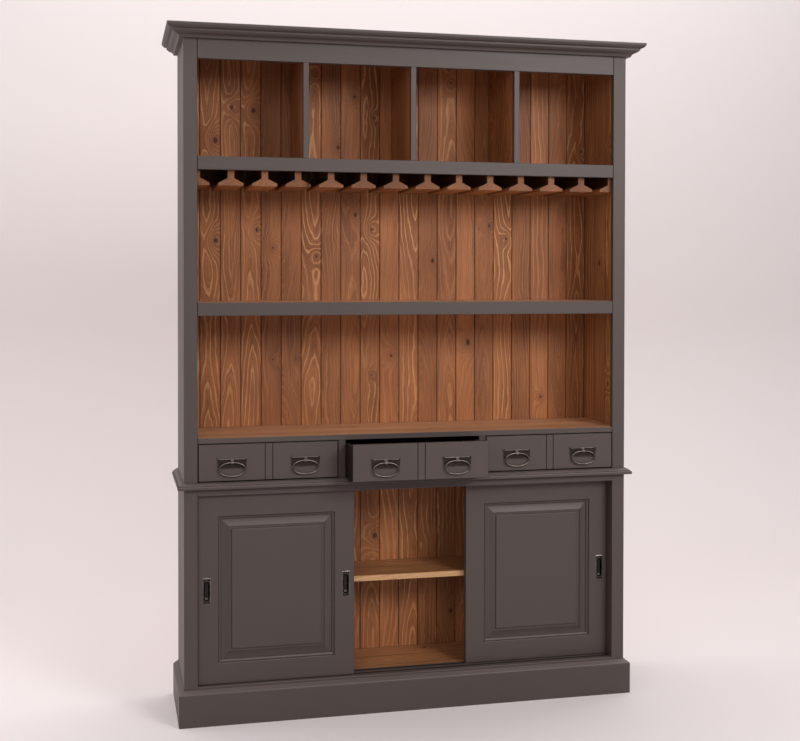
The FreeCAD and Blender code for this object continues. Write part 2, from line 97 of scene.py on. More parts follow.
# Height of the paint's, the pine's and the iron's relief, and how much light their skin mirrors
PAINT_RELIEF = 0.00012
PINE_RELIEF = 0.0005
IRON_RELIEF = 0.00015
PAINT_GLOSS = 0.38
PINE_GLOSS = 0.38
DARK_GLOSS = 0.15
IRON_METALLIC = 0.9

# Painted shade in gaps, grooves and seams: its share of the paint's colour, the height of the shaded
# lines below the head and the waist, and the width of the shaded line round a closed drawer
SHADE_SHARE = 0.1
SHADE_LINE_HEIGHT = 0.0036
GAP_SHADE_WIDTH = 0.0015

# Shares of a stain's colour: red, green and blue of the bounce-lit copy, painted light for pieces lit
# only by bounce light; shade, ring and knot of the dark one; and what painted shade in the stemware
# channels keeps
BOUNCE_LIT_SHARES = (0.97, 1.15, 1.38)
DARK_SHARES = (1.0, 0.6, 1.8, 0.3)
CHANNEL_SHADE_SHARE = 0.25

# Seeds of the pine's pattern, one for each board or run of boards
SEEDS = {
    "hutch_back_boards": 3.0, "base_back_boards": 9.0, "cubby_dividers": 12.0, "stemware_rails": 17.0,
    "base_side_left": 31.0, "base_side_right": 32.0, "hutch_side_left": 33.0, "hutch_side_right": 34.0,
    "counter_board": 41.0, "middle_shelf": 42.0, "cubby_shelf": 43.0, "base_floor": 44.0,
    "hutch_floor": 45.0, "base_top_board": 46.0, "counter_rail": 41.0, "shelf_rails": 42.0,
    "hutch_top_board": 52.0, "base_shelf": 55.0, "base_shelf_edge": 56.0, "raw_pine": 61.0,
    "dark_pine": 62.0, "drawer_partitions": 65.0, "left_drawer_bottom": 70.0,
    "middle_drawer_bottom": 71.0, "right_drawer_bottom": 72.0,
}

# What the settings of one kind have in common
COLOUR = {"subtype": "COLOR", "size": 3, "min": 0.0, "max": 1.0}
LENGTH = {"subtype": "DISTANCE", "unit": "LENGTH"}
ANGLE = {"subtype": "ANGLE", "unit": "ROTATION"}
POWER = {"subtype": "POWER", "unit": "POWER", "min": 0.0, "max": 2000.0}

# Places of the carcass, read from the frame
half_inner = -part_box("hutch_side_left")[1].x
half_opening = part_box("base_toe_rail")[1].x
face_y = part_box("hutch_stiles")[0].y
board_face_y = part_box("hutch_back_boards")[0].y


class CabinetFinish(bpy.types.PropertyGroup):
    """Colours of the paint, the pine and the iron."""

    paint: FloatVectorProperty(
        name="Paint", description="Warm grey of the painted carcass, doors and drawer fronts",
        default=(0.059, 0.0434, 0.0385), **COLOUR)
    stain: FloatVectorProperty(
        name="Stain", description="Brown of the stained pine between its growth rings",
        default=(0.385, 0.140, 0.046), **COLOUR)
    stain_shade: FloatVectorProperty(
        name="Stain shade", description="Deepest brown of the stained pine's fibres",
        default=(0.178, 0.059, 0.0185), **COLOUR)
    stain_ring: FloatVectorProperty(
        name="Stain ring", description="Golden growth rings, which take up little stain",
        default=(0.60, 0.300, 0.120), **COLOUR)
    stain_knot: FloatVectorProperty(
        name="Stain knot", description="Dark red-brown of knots in the stained pine",
        default=(0.052, 0.0165, 0.0065), **COLOUR)
    # The level stain and its shade are a lighter copy of the stain, a painted sheen on the shelves' and the
    # counter's tops
    level: FloatVectorProperty(
        name="Level stain", description="Lighter brown of the shelves' and the counter's tops",
        default=(0.470, 0.237, 0.125), **COLOUR)
    level_shade: FloatVectorProperty(
        name="Level shade", description="Deeper tone of the shelves' fibres",
        default=(0.302, 0.141, 0.069), **COLOUR)
    # Near-black pine of the drawer boxes and bottoms; on the hutch floor and the partitions it is painted
    # shade in the gaps round the drawers
    dark: FloatVectorProperty(
        name="Dark stain", description="Very dark stain of the drawer boxes",
        default=(0.010, 0.0054, 0.0035), **COLOUR)
    raw: FloatVectorProperty(
        name="Raw pine", description="Pale pine that has no stain, as on the loose shelf's front edge",
        default=(0.64, 0.375, 0.19), **COLOUR)
    raw_shade: FloatVectorProperty(
        name="Raw shade", description="Deeper tone of the raw pine's fibres",
        default=(0.47, 0.255, 0.118), **COLOUR)
    raw_ring: FloatVectorProperty(
        name="Raw ring", description="Orange growth rings of the raw pine",
        default=(0.37, 0.175, 0.07), **COLOUR)
    iron: FloatVectorProperty(
        name="Iron", description="Blackened iron of the plates and pulls",
        default=(0.030, 0.023, 0.0202), **COLOUR)
    # Iron brightened by wear, and on the rings and straps by a painted highlight as well
    iron_wear_highlight: FloatVectorProperty(
        name="Rubbed iron", description="Brighter iron of rings, straps and edges",
        default=(0.25, 0.218, 0.20), **COLOUR)
    # Near-black of the screw heads, and painted shade in the finger cups and the pulls' sunk corners
    iron_hollow_shade: FloatVectorProperty(
        name="Hollow iron", description="Black iron of pins and finger cups",
        default=(0.014, 0.014, 0.0132), **COLOUR)
    ring_spacing: FloatProperty(
        name="Ring spacing", description="Width of one year's growth in the pine",
        min=0.001, max=0.03, default=0.0115, **LENGTH)


class CabinetHardware(bpy.types.PropertyGroup):
    """Sizes of the rings, plates, pulls and screws."""

    wire_radius: FloatProperty(
        name="Ring wire", description="Radius of the wire that the drawer rings are bent from",
        min=0.0005, max=0.01, default=0.0023, **LENGTH)
    plate_thick: FloatProperty(
        name="Plate thickness", description="Thickness of the drawers' back plates",
        min=0.0005, max=0.01, default=0.0028, **LENGTH)
    strap_thick: FloatProperty(
        name="Strap thickness", description="Thickness of the strap that curls round a ring",
        min=0.0005, max=0.005, default=0.0017, **LENGTH)
    edge_round: FloatProperty(
        name="Edge round", description="Rounding of the plates' edges",
        min=0.0001, max=0.003, default=0.0008, **LENGTH)
    screw_radius: FloatProperty(
        name="Screw head", description="Radius of the heads of the small screws",
        min=0.0005, max=0.006, default=0.0019, **LENGTH)


class CabinetStage(bpy.types.PropertyGroup):
    """Camera, lights and backdrop."""

    camera_place: FloatVectorProperty(
        name="Camera", description="Place of the camera", subtype="TRANSLATION", unit="LENGTH",
        size=3, default=(-0.97243, -3.99039, 1.41718))
    camera_yaw: FloatProperty(
        name="Yaw", description="Turn of the camera to the right",
        default=0.22587, **ANGLE)
    camera_pitch: FloatProperty(
        name="Pitch", description="Tilt of the camera downwards",
        default=0.01627, **ANGLE)
    camera_roll: FloatProperty(
        name="Roll", description="Turn of the camera about its own axis",
        default=-0.00115, **ANGLE)
    lens: FloatProperty(
        name="Lens", description="Focal length in millimetres", subtype="DISTANCE_CAMERA",
        unit="CAMERA", min=10.0, max=300.0, default=54.51)
    shift: FloatVectorProperty(
        name="Shift", description="Shift of the picture against the camera's axis", size=2,
        default=(0.0177, -0.0933))
    backdrop: FloatVectorProperty(
        name="Backdrop", description="Pale colour of the floor and the wall behind",
        default=(0.74, 0.68, 0.68), **COLOUR)
    key_power: FloatProperty(
        name="Key light", description="Power of the large lamp above and right of the camera in watts",
        default=99.0, **POWER)
    fill_power: FloatProperty(
        name="Fill light", description="Power of the lamp to the left of the camera in watts",
        default=35.0, **POWER)
    side_power: FloatProperty(
        name="Side light", description="Power of the lamp beside the cabinet's left end in watts",
        default=34.0, **POWER)
    wall_power: FloatProperty(
        name="Wall light", description="Power of the lamp above the wall behind the cabinet in watts",
        default=88.0, **POWER)
    sky_strength: FloatProperty(
        name="Sky", description="Strength of the even light from all sides",
        min=0.0, max=5.0, default=0.29)


class Graph:
    """A node tree under construction, with short calls that make a node and link its sockets."""

    def __init__(self, tree):
        self.tree = tree

    def feed(self, socket, value):
        """Link a socket to another, or set its constant."""
        if isinstance(value, bpy.types.NodeSocket):
            self.tree.links.new(value, socket)
        else:
            socket.default_value = value

    def node(self, kind, inputs=None, **settings):
        """A node with its settings and its inputs by name or number."""
        made = self.tree.nodes.new(kind)
        for key, value in settings.items():
            setattr(made, key, value)
        for key, value in (inputs or {}).items():
            self.feed(made.inputs[key], value)
        return made

    def math(self, operation, *values):
        """One Math node's result."""
        return self.node("ShaderNodeMath", dict(enumerate(values)), operation=operation).outputs[0]

    def add(self, a, b):
        """The sum of two values."""
        return self.math("ADD", a, b)

    def subtract(self, a, b):
        """The first value less the second."""
        return self.math("SUBTRACT", a, b)

    def times(self, a, b):
        """The product of two values."""
        return self.math("MULTIPLY", a, b)

    def centred(self, value, span):
        """A value from 0 to 1 spread evenly about zero, over a span."""
        return self.times(self.subtract(value, 0.5), span)

    def length(self, a, b):
        """Length of a vector with two parts."""
        return self.math("SQRT", self.add(self.times(a, a), self.times(b, b)))

    def blunt_length(self, a, b, power):
        """Length of a vector with two parts, as a root of the sum of a lower power of each."""
        total = self.add(*(self.math("POWER", self.math("ABSOLUTE", part), power) for part in (a, b)))
        return self.math("POWER", total, 1.0 / power)

    def smooth(self, value, start, end):
        """0 before start, 1 after end, and a smooth step between them."""
        ramp = self.node("ShaderNodeMapRange", {"Value": value, "From Min": start, "From Max": end},
                         interpolation_type="SMOOTHSTEP")
        return ramp.outputs["Result"]

    def vector(self, x, y, z):
        """A vector from its three parts."""
        return self.node("ShaderNodeCombineXYZ", {"X": x, "Y": y, "Z": z}).outputs[0]

    def parts(self, vector):
        """A vector's three parts."""
        return self.node("ShaderNodeSeparateXYZ", {"Vector": vector}).outputs

    def scaled(self, value, slope, start):
        """A straight line: the value times a slope, from a start."""
        return self.add(self.times(value, slope), start)

    def noise(self, parts, scales, detail=2.0, roughness=0.5):
        """Cloudy noise from 0 to 1 over a place, whose three parts each have a scale in cells."""
        vector = self.vector(*(self.times(part, scale) for part, scale in zip(parts, scales)))
        made = self.node("ShaderNodeTexNoise", {
            "Vector": vector, "Scale": 1.0, "Detail": detail, "Roughness": roughness})
        return made.outputs["Fac"]

    def random(self, vector):
        """Three numbers from 0 to 1 for each place, and a fourth."""
        made = self.node("ShaderNodeTexWhiteNoise", {"Vector": vector}, noise_dimensions="3D")
        red, green, blue = self.parts(made.outputs["Color"])
        return red, green, blue, made.outputs["Value"]

    def mix(self, factor, a, b, blend="MIX"):
        """Two colours mixed."""
        made = self.node("ShaderNodeMix", {0: factor, 6: a, 7: b}, data_type="RGBA", blend_type=blend)
        return made.outputs[2]

    def tint(self, colour, red, green, blue):
        """A colour whose red, green and blue are each multiplied by a share."""
        shares = self.node("ShaderNodeCombineColor", {"Red": red, "Green": green, "Blue": blue})
        return self.mix(1.0, colour, shares.outputs[0], "MULTIPLY")

    def between(self, factor, a, b):
        """Two values mixed."""
        return self.node("ShaderNodeMix", {0: factor, 2: a, 3: b}, data_type="FLOAT").outputs[0]


def new_group(name, inputs, outputs):
    """A shader node group with named sockets: (name, kind, default) in, (name, kind) out."""
    tree = bpy.data.node_groups.new(name, "ShaderNodeTree")
    for label, kind, default in inputs:
        socket = tree.interface.new_socket(label, in_out="INPUT", socket_type="NodeSocket" + kind)
        socket.default_value = default
    for label, kind in outputs:
        tree.interface.new_socket(label, in_out="OUTPUT", socket_type="NodeSocket" + kind)
    graph = Graph(tree)
    entry = graph.node("NodeGroupInput")
    finish = graph.node("NodeGroupOutput")
    return tree, graph, entry.outputs, finish.inputs


def opaque(colour):
    """A colour with its alpha."""
    return (*colour, 1.0)


def pine_group():
    """Pine boards: growth rings round a pith that wanders behind each board, knots and fibres.

    Each board has its own pith. A ring shows where the distance from the pith, bent by slow and by
    quick noise and pushed outwards round knots, is a whole number of ring spacings. The distance
    sums powers lower than two of its parts, so that the rings' arches come to points.
    """
    arch_power = 1.42
    knot_cell, knot_free = 0.40, 0.58
    ring_rise, ring_fall = (0.64, 0.86), (0.90, 0.985)
    grey = (0.5, 0.5, 0.5, 1.0)
    tree, g, given, out = new_group(
        "pine_boards",
        [("Across", "Float", 0.0), ("Depth", "Float", 0.0), ("Along", "Float", 0.0),
         ("Start", "Float", 0.0), ("Width", "Float", 0.1), ("Seed", "Float", 0.0), ("Figure", "Float", 0.0),
         ("Ring Spacing", "Float", 0.006), ("Wood", "Color", grey), ("Shade", "Color", grey),
         ("Ring", "Color", grey), ("Knot", "Color", grey)],
        [("Color", "Color"), ("Roughness", "Float"), ("Height", "Float")])

    # The board, the place across it, and random numbers of its own
    along, depth, seed, width = given["Along"], given["Depth"], given["Seed"], given["Width"]
    place = g.math("DIVIDE", g.subtract(given["Across"], given["Start"]), width)
    board = g.math("FLOOR", place)
    share = g.subtract(g.math("FRACT", place), 0.5)
    across = g.times(share, width)
    sidewise = g.add(across, g.times(board, 0.37))
    red, green, blue, tone = g.random(g.vector(board, seed, 0.5))

    # The pith, and the distance from it
    drift = g.noise((along, tone, seed), (1.3, 53.0, 1.0), 1.5)
    sway = g.noise((along, green, g.add(seed, 5.0)), (1.5, 71.0, 1.0), 1.0)
    pith_across = g.add(g.centred(red, 0.11), g.centred(sway, 0.06))
    pith_depth = g.add(g.scaled(green, 0.05, 0.006), g.centred(drift, 0.22))
    radius = g.blunt_length(g.subtract(across, pith_across), g.add(depth, pith_depth), arch_power)

    # One knot at most in each cell along the board, and the swirl of rings round it
    waver = g.noise((sidewise, depth, along), (19.0, 19.0, 5.5))
    jag = g.noise((sidewise, depth, along), (95.0, 95.0, 26.0))
    cell_place = g.add(g.math("DIVIDE", along, knot_cell), g.times(tone, 5.0))
    cell = g.math("FLOOR", cell_place)
    knot_red, knot_green, knot_blue, knot_odds = g.random(g.vector(board, cell, g.add(seed, 0.3)))
    present = g.math("GREATER_THAN", knot_odds, knot_free)
    knot_across = g.subtract(across, g.times(g.centred(knot_red, 0.7), width))
    knot_share = g.subtract(g.subtract(cell_place, cell), g.scaled(knot_green, 0.5, 0.25))
    knot_along = g.times(knot_share, knot_cell)
    knot_radius = g.scaled(g.times(knot_blue, knot_blue), 0.0060, 0.0022)
    reach = g.math("DIVIDE", g.length(knot_across, g.times(knot_along, 0.75)), knot_radius)
    reach = g.add(reach, g.centred(jag, 1.4))
    knot = g.times(present, g.subtract(1.0, g.smooth(reach, 0.5, 1.4)))
    swirl_size = g.scaled(knot_blue, 0.020, 0.011)
    swirl = g.math("DIVIDE", g.length(knot_across, g.times(knot_along, 0.6)), swirl_size)
    swell = g.times(present, g.math("EXPONENT", g.times(g.times(swirl, swirl), -1.0)))
    lift = g.times(swell, g.scaled(knot_blue, 0.040, 0.016))

    # The growth rings
    bent = g.add(g.add(radius, lift), g.add(g.centred(waver, 0.020), g.centred(jag, 0.0055)))
    spacing = g.times(given["Ring Spacing"], g.scaled(tone, 0.7, 0.7))
    ring_place = g.math("FRACT", g.math("DIVIDE", bent, spacing))
    ring = g.times(g.smooth(ring_place, *ring_rise), g.subtract(1.0, g.smooth(ring_place, *ring_fall)))

    # Lines, fibres, pores and clouds of stain, and the seam between two boards
    line = g.noise((bent, board, along), (620.0, 3.1, 1.5), 3.0, 0.6)
    fibre = g.noise((across, depth, along), (360.0, 360.0, 8.0), 4.0, 0.62)
    pore = g.noise((across, depth, along), (1500.0, 1500.0, 60.0))
    cloud = g.noise((sidewise, board, along), (14.0, 1.7, 3.0), 3.0)
    patch = g.smooth(g.noise((sidewise, board, along), (9.0, 2.3, 2.2)), 0.34, 0.6)
    seam = g.smooth(g.math("ABSOLUTE", share), 0.472, 0.494)

    # The colour, from the body of the wood to the seam
    mottle = g.add(g.add(g.times(line, 0.55), g.times(fibre, 0.4)), g.times(cloud, 0.45))
    body = g.mix(g.smooth(mottle, 0.51, 0.88), given["Shade"], given["Wood"])
    strength = g.scaled(g.smooth(g.add(blue, given["Figure"]), 0.2, 0.75), 0.72, 0.14)
    figure = g.times(g.times(ring, g.times(strength, g.scaled(patch, 0.7, 0.3))),
                     g.smooth(fibre, 0.1, 0.55))
    figured = g.mix(figure, body, given["Ring"])
    halo = g.mix(g.times(g.times(swell, swell), 0.5), figured, given["Shade"])
    knotted = g.mix(g.times(knot, 0.88), halo, given["Knot"])
    toned = g.tint(knotted, g.scaled(tone, 0.36, 0.80), g.scaled(tone, 0.40, 0.77),
                   g.scaled(red, 0.46, 0.72))
    g.feed(out["Color"], g.mix(g.times(seam, 0.85), toned, given["Knot"]))

    # Roughness and relief
    worn = g.subtract(g.times(knot, 0.2), g.times(ring, 0.12))
    g.feed(out["Roughness"], g.add(g.scaled(fibre, 0.16, 0.54), worn))
    grain = g.add(g.times(line, 0.2), g.add(g.times(fibre, 0.2), g.times(pore, 0.1)))
    g.feed(out["Height"], g.subtract(g.add(g.times(ring, 0.5), grain), g.times(knot, 0.3)))
    return tree


def paint_group():
    """Satin paint over brushed pine: faint streaks along the grain and slow changes of tone."""
    tree, g, given, out = new_group(
        "satin_paint",
        [("Across", "Float", 0.0), ("Depth", "Float", 0.0), ("Along", "Float", 0.0),
         ("Paint", "Color", (0.1, 0.1, 0.1, 1.0))],
        [("Color", "Color"), ("Roughness", "Float"), ("Height", "Float")])
    place = given["Across"], given["Depth"], given["Along"]
    streak = g.noise(place, (210.0, 210.0, 5.0), 3.0)
    cloud = g.noise(place, (3.4, 3.4, 1.8), 3.0)
    speck = g.noise(place, (900.0, 900.0, 260.0))
    light = g.add(g.add(g.centred(cloud, 0.16), g.centred(streak, 0.1)), 1.0)
    g.feed(out["Color"], g.tint(given["Paint"], light, light, light))
    g.feed(out["Roughness"], g.add(g.add(g.centred(cloud, 0.14), g.centred(streak, 0.12)), 0.52))
    g.feed(out["Height"], g.add(g.times(streak, 0.75), g.times(speck, 0.25)))
    return tree


def iron_group():
    """Blackened iron: a fine cast skin with pits, brightened by wear and painted highlights, and darkened
    by painted shade in hollows.
    """
    grey = (0.1, 0.1, 0.1, 1.0)
    pit, crest = (0.35, 0.33, 0.32, 1.0), (1.3, 1.28, 1.26, 1.0)
    tree, g, given, out = new_group(
        "blackened_iron",
        [("Vector", "Vector", (0.0, 0.0, 0.0)), ("Iron", "Color", grey), ("Rubbed", "Color", grey),
         ("Hollow", "Color", grey), ("Rub Mask", "Float", 0.0), ("Hollow Mask", "Float", 0.0)],
        [("Color", "Color"), ("Roughness", "Float"), ("Height", "Float")])
    place = g.parts(given["Vector"])
    skin = g.noise(place, (420.0, 420.0, 420.0), 4.0, 0.6)
    patch = g.noise(place, (90.0, 90.0, 90.0), 3.0)
    cast = g.mix(1.0, given["Iron"], g.mix(g.smooth(skin, 0.25, 0.7), pit, crest), "MULTIPLY")
    # Wear and painted highlights brighten the iron where the mesh marks them, and painted shade darkens its
    # hollows
    bare_and_lit = g.times(given["Rub Mask"], g.scaled(g.smooth(patch, 0.3, 0.65), 0.6, 0.4))
    worn = g.mix(bare_and_lit, cast, given["Rubbed"])
    g.feed(out["Color"], g.mix(given["Hollow Mask"], worn, given["Hollow"]))
    rough = g.add(g.between(bare_and_lit, 0.52, 0.3), g.centred(skin, 0.18))
    g.feed(out["Roughness"], g.between(given["Hollow Mask"], rough, 0.2))
    g.feed(out["Height"], g.times(skin, g.subtract(1.0, g.times(given["Rub Mask"], 0.7))))
    return tree


def group_of(name):
    """A shared node group, built when it is first needed."""
    makers = {"pine_boards": pine_group, "satin_paint": paint_group, "blackened_iron": iron_group}
    return bpy.data.node_groups.get(name) or makers[name]()


def new_material(name, gloss=PINE_GLOSS):
    """A material with a graph and its main shader, whose specular level is its gloss."""
    material = bpy.data.materials.new(name)
    material.use_nodes = True
    material.node_tree.nodes.clear()
    graph = Graph(material.node_tree)
    shader = graph.node("ShaderNodeBsdfPrincipled")
    shader.inputs["Specular IOR Level"].default_value = gloss
    graph.node("ShaderNodeOutputMaterial", {"Surface": shader.outputs[0]})
    return material, graph, shader


def facing(graph, axis, way, limit=0.9):
    """Mask of the faces whose normal looks along an axis, the way that a sign gives."""
    normal = graph.parts(graph.node("ShaderNodeNewGeometry").outputs["True Normal"])
    return graph.math("GREATER_THAN", graph.times(normal[axis], way), limit)


def object_place(graph):
    """Object coordinates as three sockets."""
    return graph.parts(graph.node("ShaderNodeTexCoord").outputs["Object"])


def skin_of(graph, group, inputs):
    """Colour, roughness and height from a shared group."""
    made = graph.node("ShaderNodeGroup", node_tree=group_of(group))
    for key, value in inputs.items():
        graph.feed(made.inputs[key], value)
    return made.outputs["Color"], made.outputs["Roughness"], made.outputs["Height"]


def wear(graph, shader, skin, relief):
    """Put a skin on the shader, with its height as relief in metres."""
    colour, roughness, height = skin
    graph.feed(shader.inputs["Base Color"], colour)
    graph.feed(shader.inputs["Roughness"], roughness)
    bump = graph.node("ShaderNodeBump", {"Height": height, "Strength": 1.0, "Distance": relief})
    graph.feed(shader.inputs["Normal"], bump.outputs[0])


def blend_skins(graph, factor, first, second):
    """Two skins mixed by a mask."""
    return (graph.mix(factor, first[0], second[0]), graph.between(factor, first[1], second[1]),
            graph.between(factor, first[2], second[2]))


def deepened(graph, skin, mask, share):
    """A skin whose colour falls to a share where a mask says so."""
    colour, roughness, height = skin
    shade = graph.mix(mask, opaque((1.0, 1.0, 1.0)), opaque((share, share, share)))
    return graph.mix(1.0, colour, shade, "MULTIPLY"), roughness, height


def along_axes(graph, place, along):
    """Across, depth and along for a board: along is x, y, z, or xy for boards that run either way."""
    x, y, z = place
    if along == "x":
        return y, z, x
    if along == "y":
        return x, z, y
    if along == "xy":
        return z, graph.subtract(x, y), graph.add(x, y)
    return x, y, z


def paint_skin(graph, place, along, share=1.0):
    """Paint whose streaks run along an axis, with a share of the usual colour."""
    across, depth, length = along_axes(graph, place, along)
    colour = opaque(Vector(bpy.context.scene.cabinet_finish.paint) * share)
    inputs = {"Across": across, "Depth": depth, "Along": length, "Paint": colour}
    return skin_of(graph, "satin_paint", inputs)


def pine_tones(kind):
    """Wood, shade, ring and knot colours of stained pine, of its bounce-lit and lighter level copies, which
    are painted light, of dark pine and of raw pine.
    """
    finish = bpy.context.scene.cabinet_finish
    dark = Vector(finish.dark)
    bounce_lit, bounce_lit_shade = (Vector(np.multiply(tone, BOUNCE_LIT_SHARES))
                            for tone in (finish.stain, finish.stain_shade))
    return {
        "stained": (finish.stain, finish.stain_shade, finish.stain_ring, finish.stain_knot),
        "bounce_lit": (bounce_lit, bounce_lit_shade, finish.stain_ring, finish.stain_knot),
        "level": (finish.level, finish.level_shade, finish.stain_ring, finish.stain_knot),
        "dark": [dark * share for share in DARK_SHARES],
        "raw": (finish.raw, finish.raw_shade, finish.raw_ring, finish.raw_ring),
    }[kind]


def pine_skin(graph, axes, start, width, seed, kind="stained", figure=0.0):
    """Pine boards of a width from a start, in one of the kinds, with plain or strong figure."""
    finish = bpy.context.scene.cabinet_finish
    across, depth, along = axes
    tones = pine_tones(kind)
    inputs = {"Across": across, "Depth": depth, "Along": along, "Start": start, "Width": width,
              "Seed": seed, "Figure": figure, "Ring Spacing": finish.ring_spacing}
    inputs.update({key: opaque(tone) for key, tone in zip(("Wood", "Shade", "Ring", "Knot"), tones)})
    return skin_of(graph, "pine_boards", inputs)


def level_pine(graph, place, node, kind="level", seed=None):
    """Strips along x, glued up to a level board, with the depth measured from the node's top."""
    x, y, z = place
    depth = graph.subtract(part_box(node)[1].z, z)
    return pine_skin(graph, (y, depth, x), face_y, GLUED_STRIP_WIDTH, SEEDS[seed or node], kind)


def paint_material(name, along):
    """Painted all over."""
    material, graph, shader = new_material(name, PAINT_GLOSS)
    wear(graph, shader, paint_skin(graph, object_place(graph), along), PAINT_RELIEF)
    return material


def shaded_paint(name, along, shaded):
    """Paint darkened to a painted shade where a mask of the graph says so."""
    material, graph, shader = new_material(name, PAINT_GLOSS)
    place = object_place(graph)
    paint, painted_shade = (paint_skin(graph, place, along, share) for share in (1.0, SHADE_SHARE))
    wear(graph, shader, blend_skins(graph, shaded(graph, place), paint, painted_shade), PAINT_RELIEF)
    return material


def iron_material(name):
    """Blackened iron whose meshes say where wear and painted highlights brighten it and where painted shade
    darkens it.
    """
    finish = bpy.context.scene.cabinet_finish
    material, graph, shader = new_material(name)
    inputs = {
        "Vector": graph.node("ShaderNodeTexCoord").outputs["Object"], "Iron": opaque(finish.iron),
        "Rubbed": opaque(finish.iron_wear_highlight), "Hollow": opaque(finish.iron_hollow_shade),
        "Rub Mask": graph.node("ShaderNodeAttribute", attribute_name="rubbed").outputs["Fac"],
        "Hollow Mask": graph.node("ShaderNodeAttribute", attribute_name="hollow").outputs["Fac"],
    }
    wear(graph, shader, skin_of(graph, "blackened_iron", inputs), IRON_RELIEF)
    shader.inputs["Metallic"].default_value = IRON_METALLIC
    return material


def dress(node, material):
    """Give a node of the frame one material."""
    slots = frame["nodes"][node].data.materials
    slots.clear()
    slots.append(material)


def dressing(node, gloss=PINE_GLOSS):
    """A material of its own on a node of the frame: the graph, the shader and the place on it."""
    material, graph, shader = new_material(node, gloss)
    dress(node, material)
    return graph, shader, object_place(graph)


class WINECABINET_OT_paint(bpy.types.Operator):
    """Paint the face frames, mouldings, doors and drawer fronts"""

    bl_idname = "wine_cabinet.paint"
    bl_label = "Paint the outside"

    # How far behind a face its mask begins, and how far a closed drawer may stand out
    stile_skin = 0.2 * MM
    groove_skin = 0.5 * MM
    front_skin = 0.6 * MM
    sill_lip = 2 * MM
    closed_play = 1 * MM

    def execute(self, context):
        upright = paint_material("paint_upright", "z")
        level = paint_material("paint_level", "x")
        for node in ("divider_lippings", "door_stops"):
            dress(node, upright)
        for node in ("base_plinth", "base_toe_rail", "hutch_top_rail", "cornice"):
            dress(node, level)
        # Stiles, head, sill, doors and drawer fronts get painted shade in their gaps, grooves and seams
        for node, name, along, mask in (
                ("base_stiles", "paint_base_stiles", "z", self.under_waist),
                ("hutch_stiles", "paint_hutch_stiles", "z", self.beside_drawers),
                ("door_head", "paint_head", "x", self.behind_doors),
                ("door_sill", "paint_sill", "x", self.in_grooves)):
            dress(node, shaded_paint(name, along, mask))
        doors = shaded_paint("paint_doors", "z", self.below_head)
        for hand in HANDS:
            for piece in ("frame", "panel", "beads"):
                dress(f"{hand}_door_{piece}", doors)
        for drawer in DRAWERS:
            node = drawer + "_drawer_front"
            dress(node, shaded_paint(node, "x", self.gap_shade_mask(*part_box(node))))
        return {"FINISHED"}

    def below_head(self, graph, place):
        """Mask of a painted shadow on the doors' top edges, close below the head."""
        return graph.math("GREATER_THAN", place["Z"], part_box("door_head")[0].z - SHADE_LINE_HEIGHT)

    def behind_doors(self, graph, place):
        """Mask of painted shade on what lies behind the front door's face, and on the seam below the waist.
        """
        behind = graph.math("GREATER_THAN", place["Y"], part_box("left_door_frame")[0].y)
        return graph.math("MAXIMUM", behind, self.under_waist(graph, place))

    def in_grooves(self, graph, place):
        """Mask of painted shade in the sill's two grooves."""
        low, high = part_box("door_sill")
        sunk = graph.math("LESS_THAN", place["Z"], high.z - self.groove_skin)
        return graph.times(sunk, graph.math("GREATER_THAN", place["Y"], low.y + self.sill_lip))

    def under_waist(self, graph, place):
        """Mask of the seam between the cupboard and the waist moulding: a dark joint, with painted shadow
        under the moulding.
        """
        return graph.math("GREATER_THAN", place["Z"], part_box("base_stiles")[1].z - SHADE_LINE_HEIGHT)

    def beside_drawers(self, graph, place):
        """Mask of painted shade on the stiles' inner faces from the waist to the counter."""
        inward = graph.math("LESS_THAN", graph.math("ABSOLUTE", place["X"]), half_opening + self.stile_skin)
        return graph.times(inward, graph.math("LESS_THAN", place["Z"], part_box("counter_board")[1].z))

    def gap_shade_mask(self, low, high):
        """Mask of painted shade on all that lies behind a front's face, and on a narrow line round a closed
        drawer.
        """
        line = GAP_SHADE_WIDTH if low.y > face_y - self.closed_play else 0.0

        def mask(graph, place):
            """Further back than the face's skin, or closer to a side than the line is wide."""
            marks = [graph.math("GREATER_THAN", place["Y"], low.y + self.front_skin)]
            for axis in "XZ":
                middle, half = ((getattr(high, axis.lower()) + sign * getattr(low, axis.lower())) / 2
                                for sign in (1, -1))
                reach = graph.math("ABSOLUTE", graph.subtract(place[axis], middle))
                marks.append(graph.math("GREATER_THAN", reach, half - line))
            return graph.math("MAXIMUM", marks[0], graph.math("MAXIMUM", *marks[1:]))
        return mask


class WINECABINET_OT_sides(bpy.types.Operator):
    """Paint the sides outside and stain them inside"""

    bl_idname = "wine_cabinet.sides"
    bl_label = "Paint and stain the sides"

    skin_depth = 0.0005

    def execute(self, context):
        for node in ("base_side_left", "base_side_right", "hutch_side_left", "hutch_side_right"):
            graph, shader, place = dressing(node, PAINT_GLOSS)
            x, y, z = place
            depth = graph.subtract(graph.math("ABSOLUTE", x), half_inner)
            outer = graph.math("GREATER_THAN", depth, self.skin_depth)
            # The inner faces take the bounce-lit copy of the stain, which is painted light
            pine = pine_skin(graph, (y, depth, z), face_y, GLUED_STRIP_WIDTH, SEEDS[node], "bounce_lit")
            wear(graph, shader, blend_skins(graph, outer, pine, paint_skin(graph, place, "z")), PINE_RELIEF)
        return {"FINISHED"}


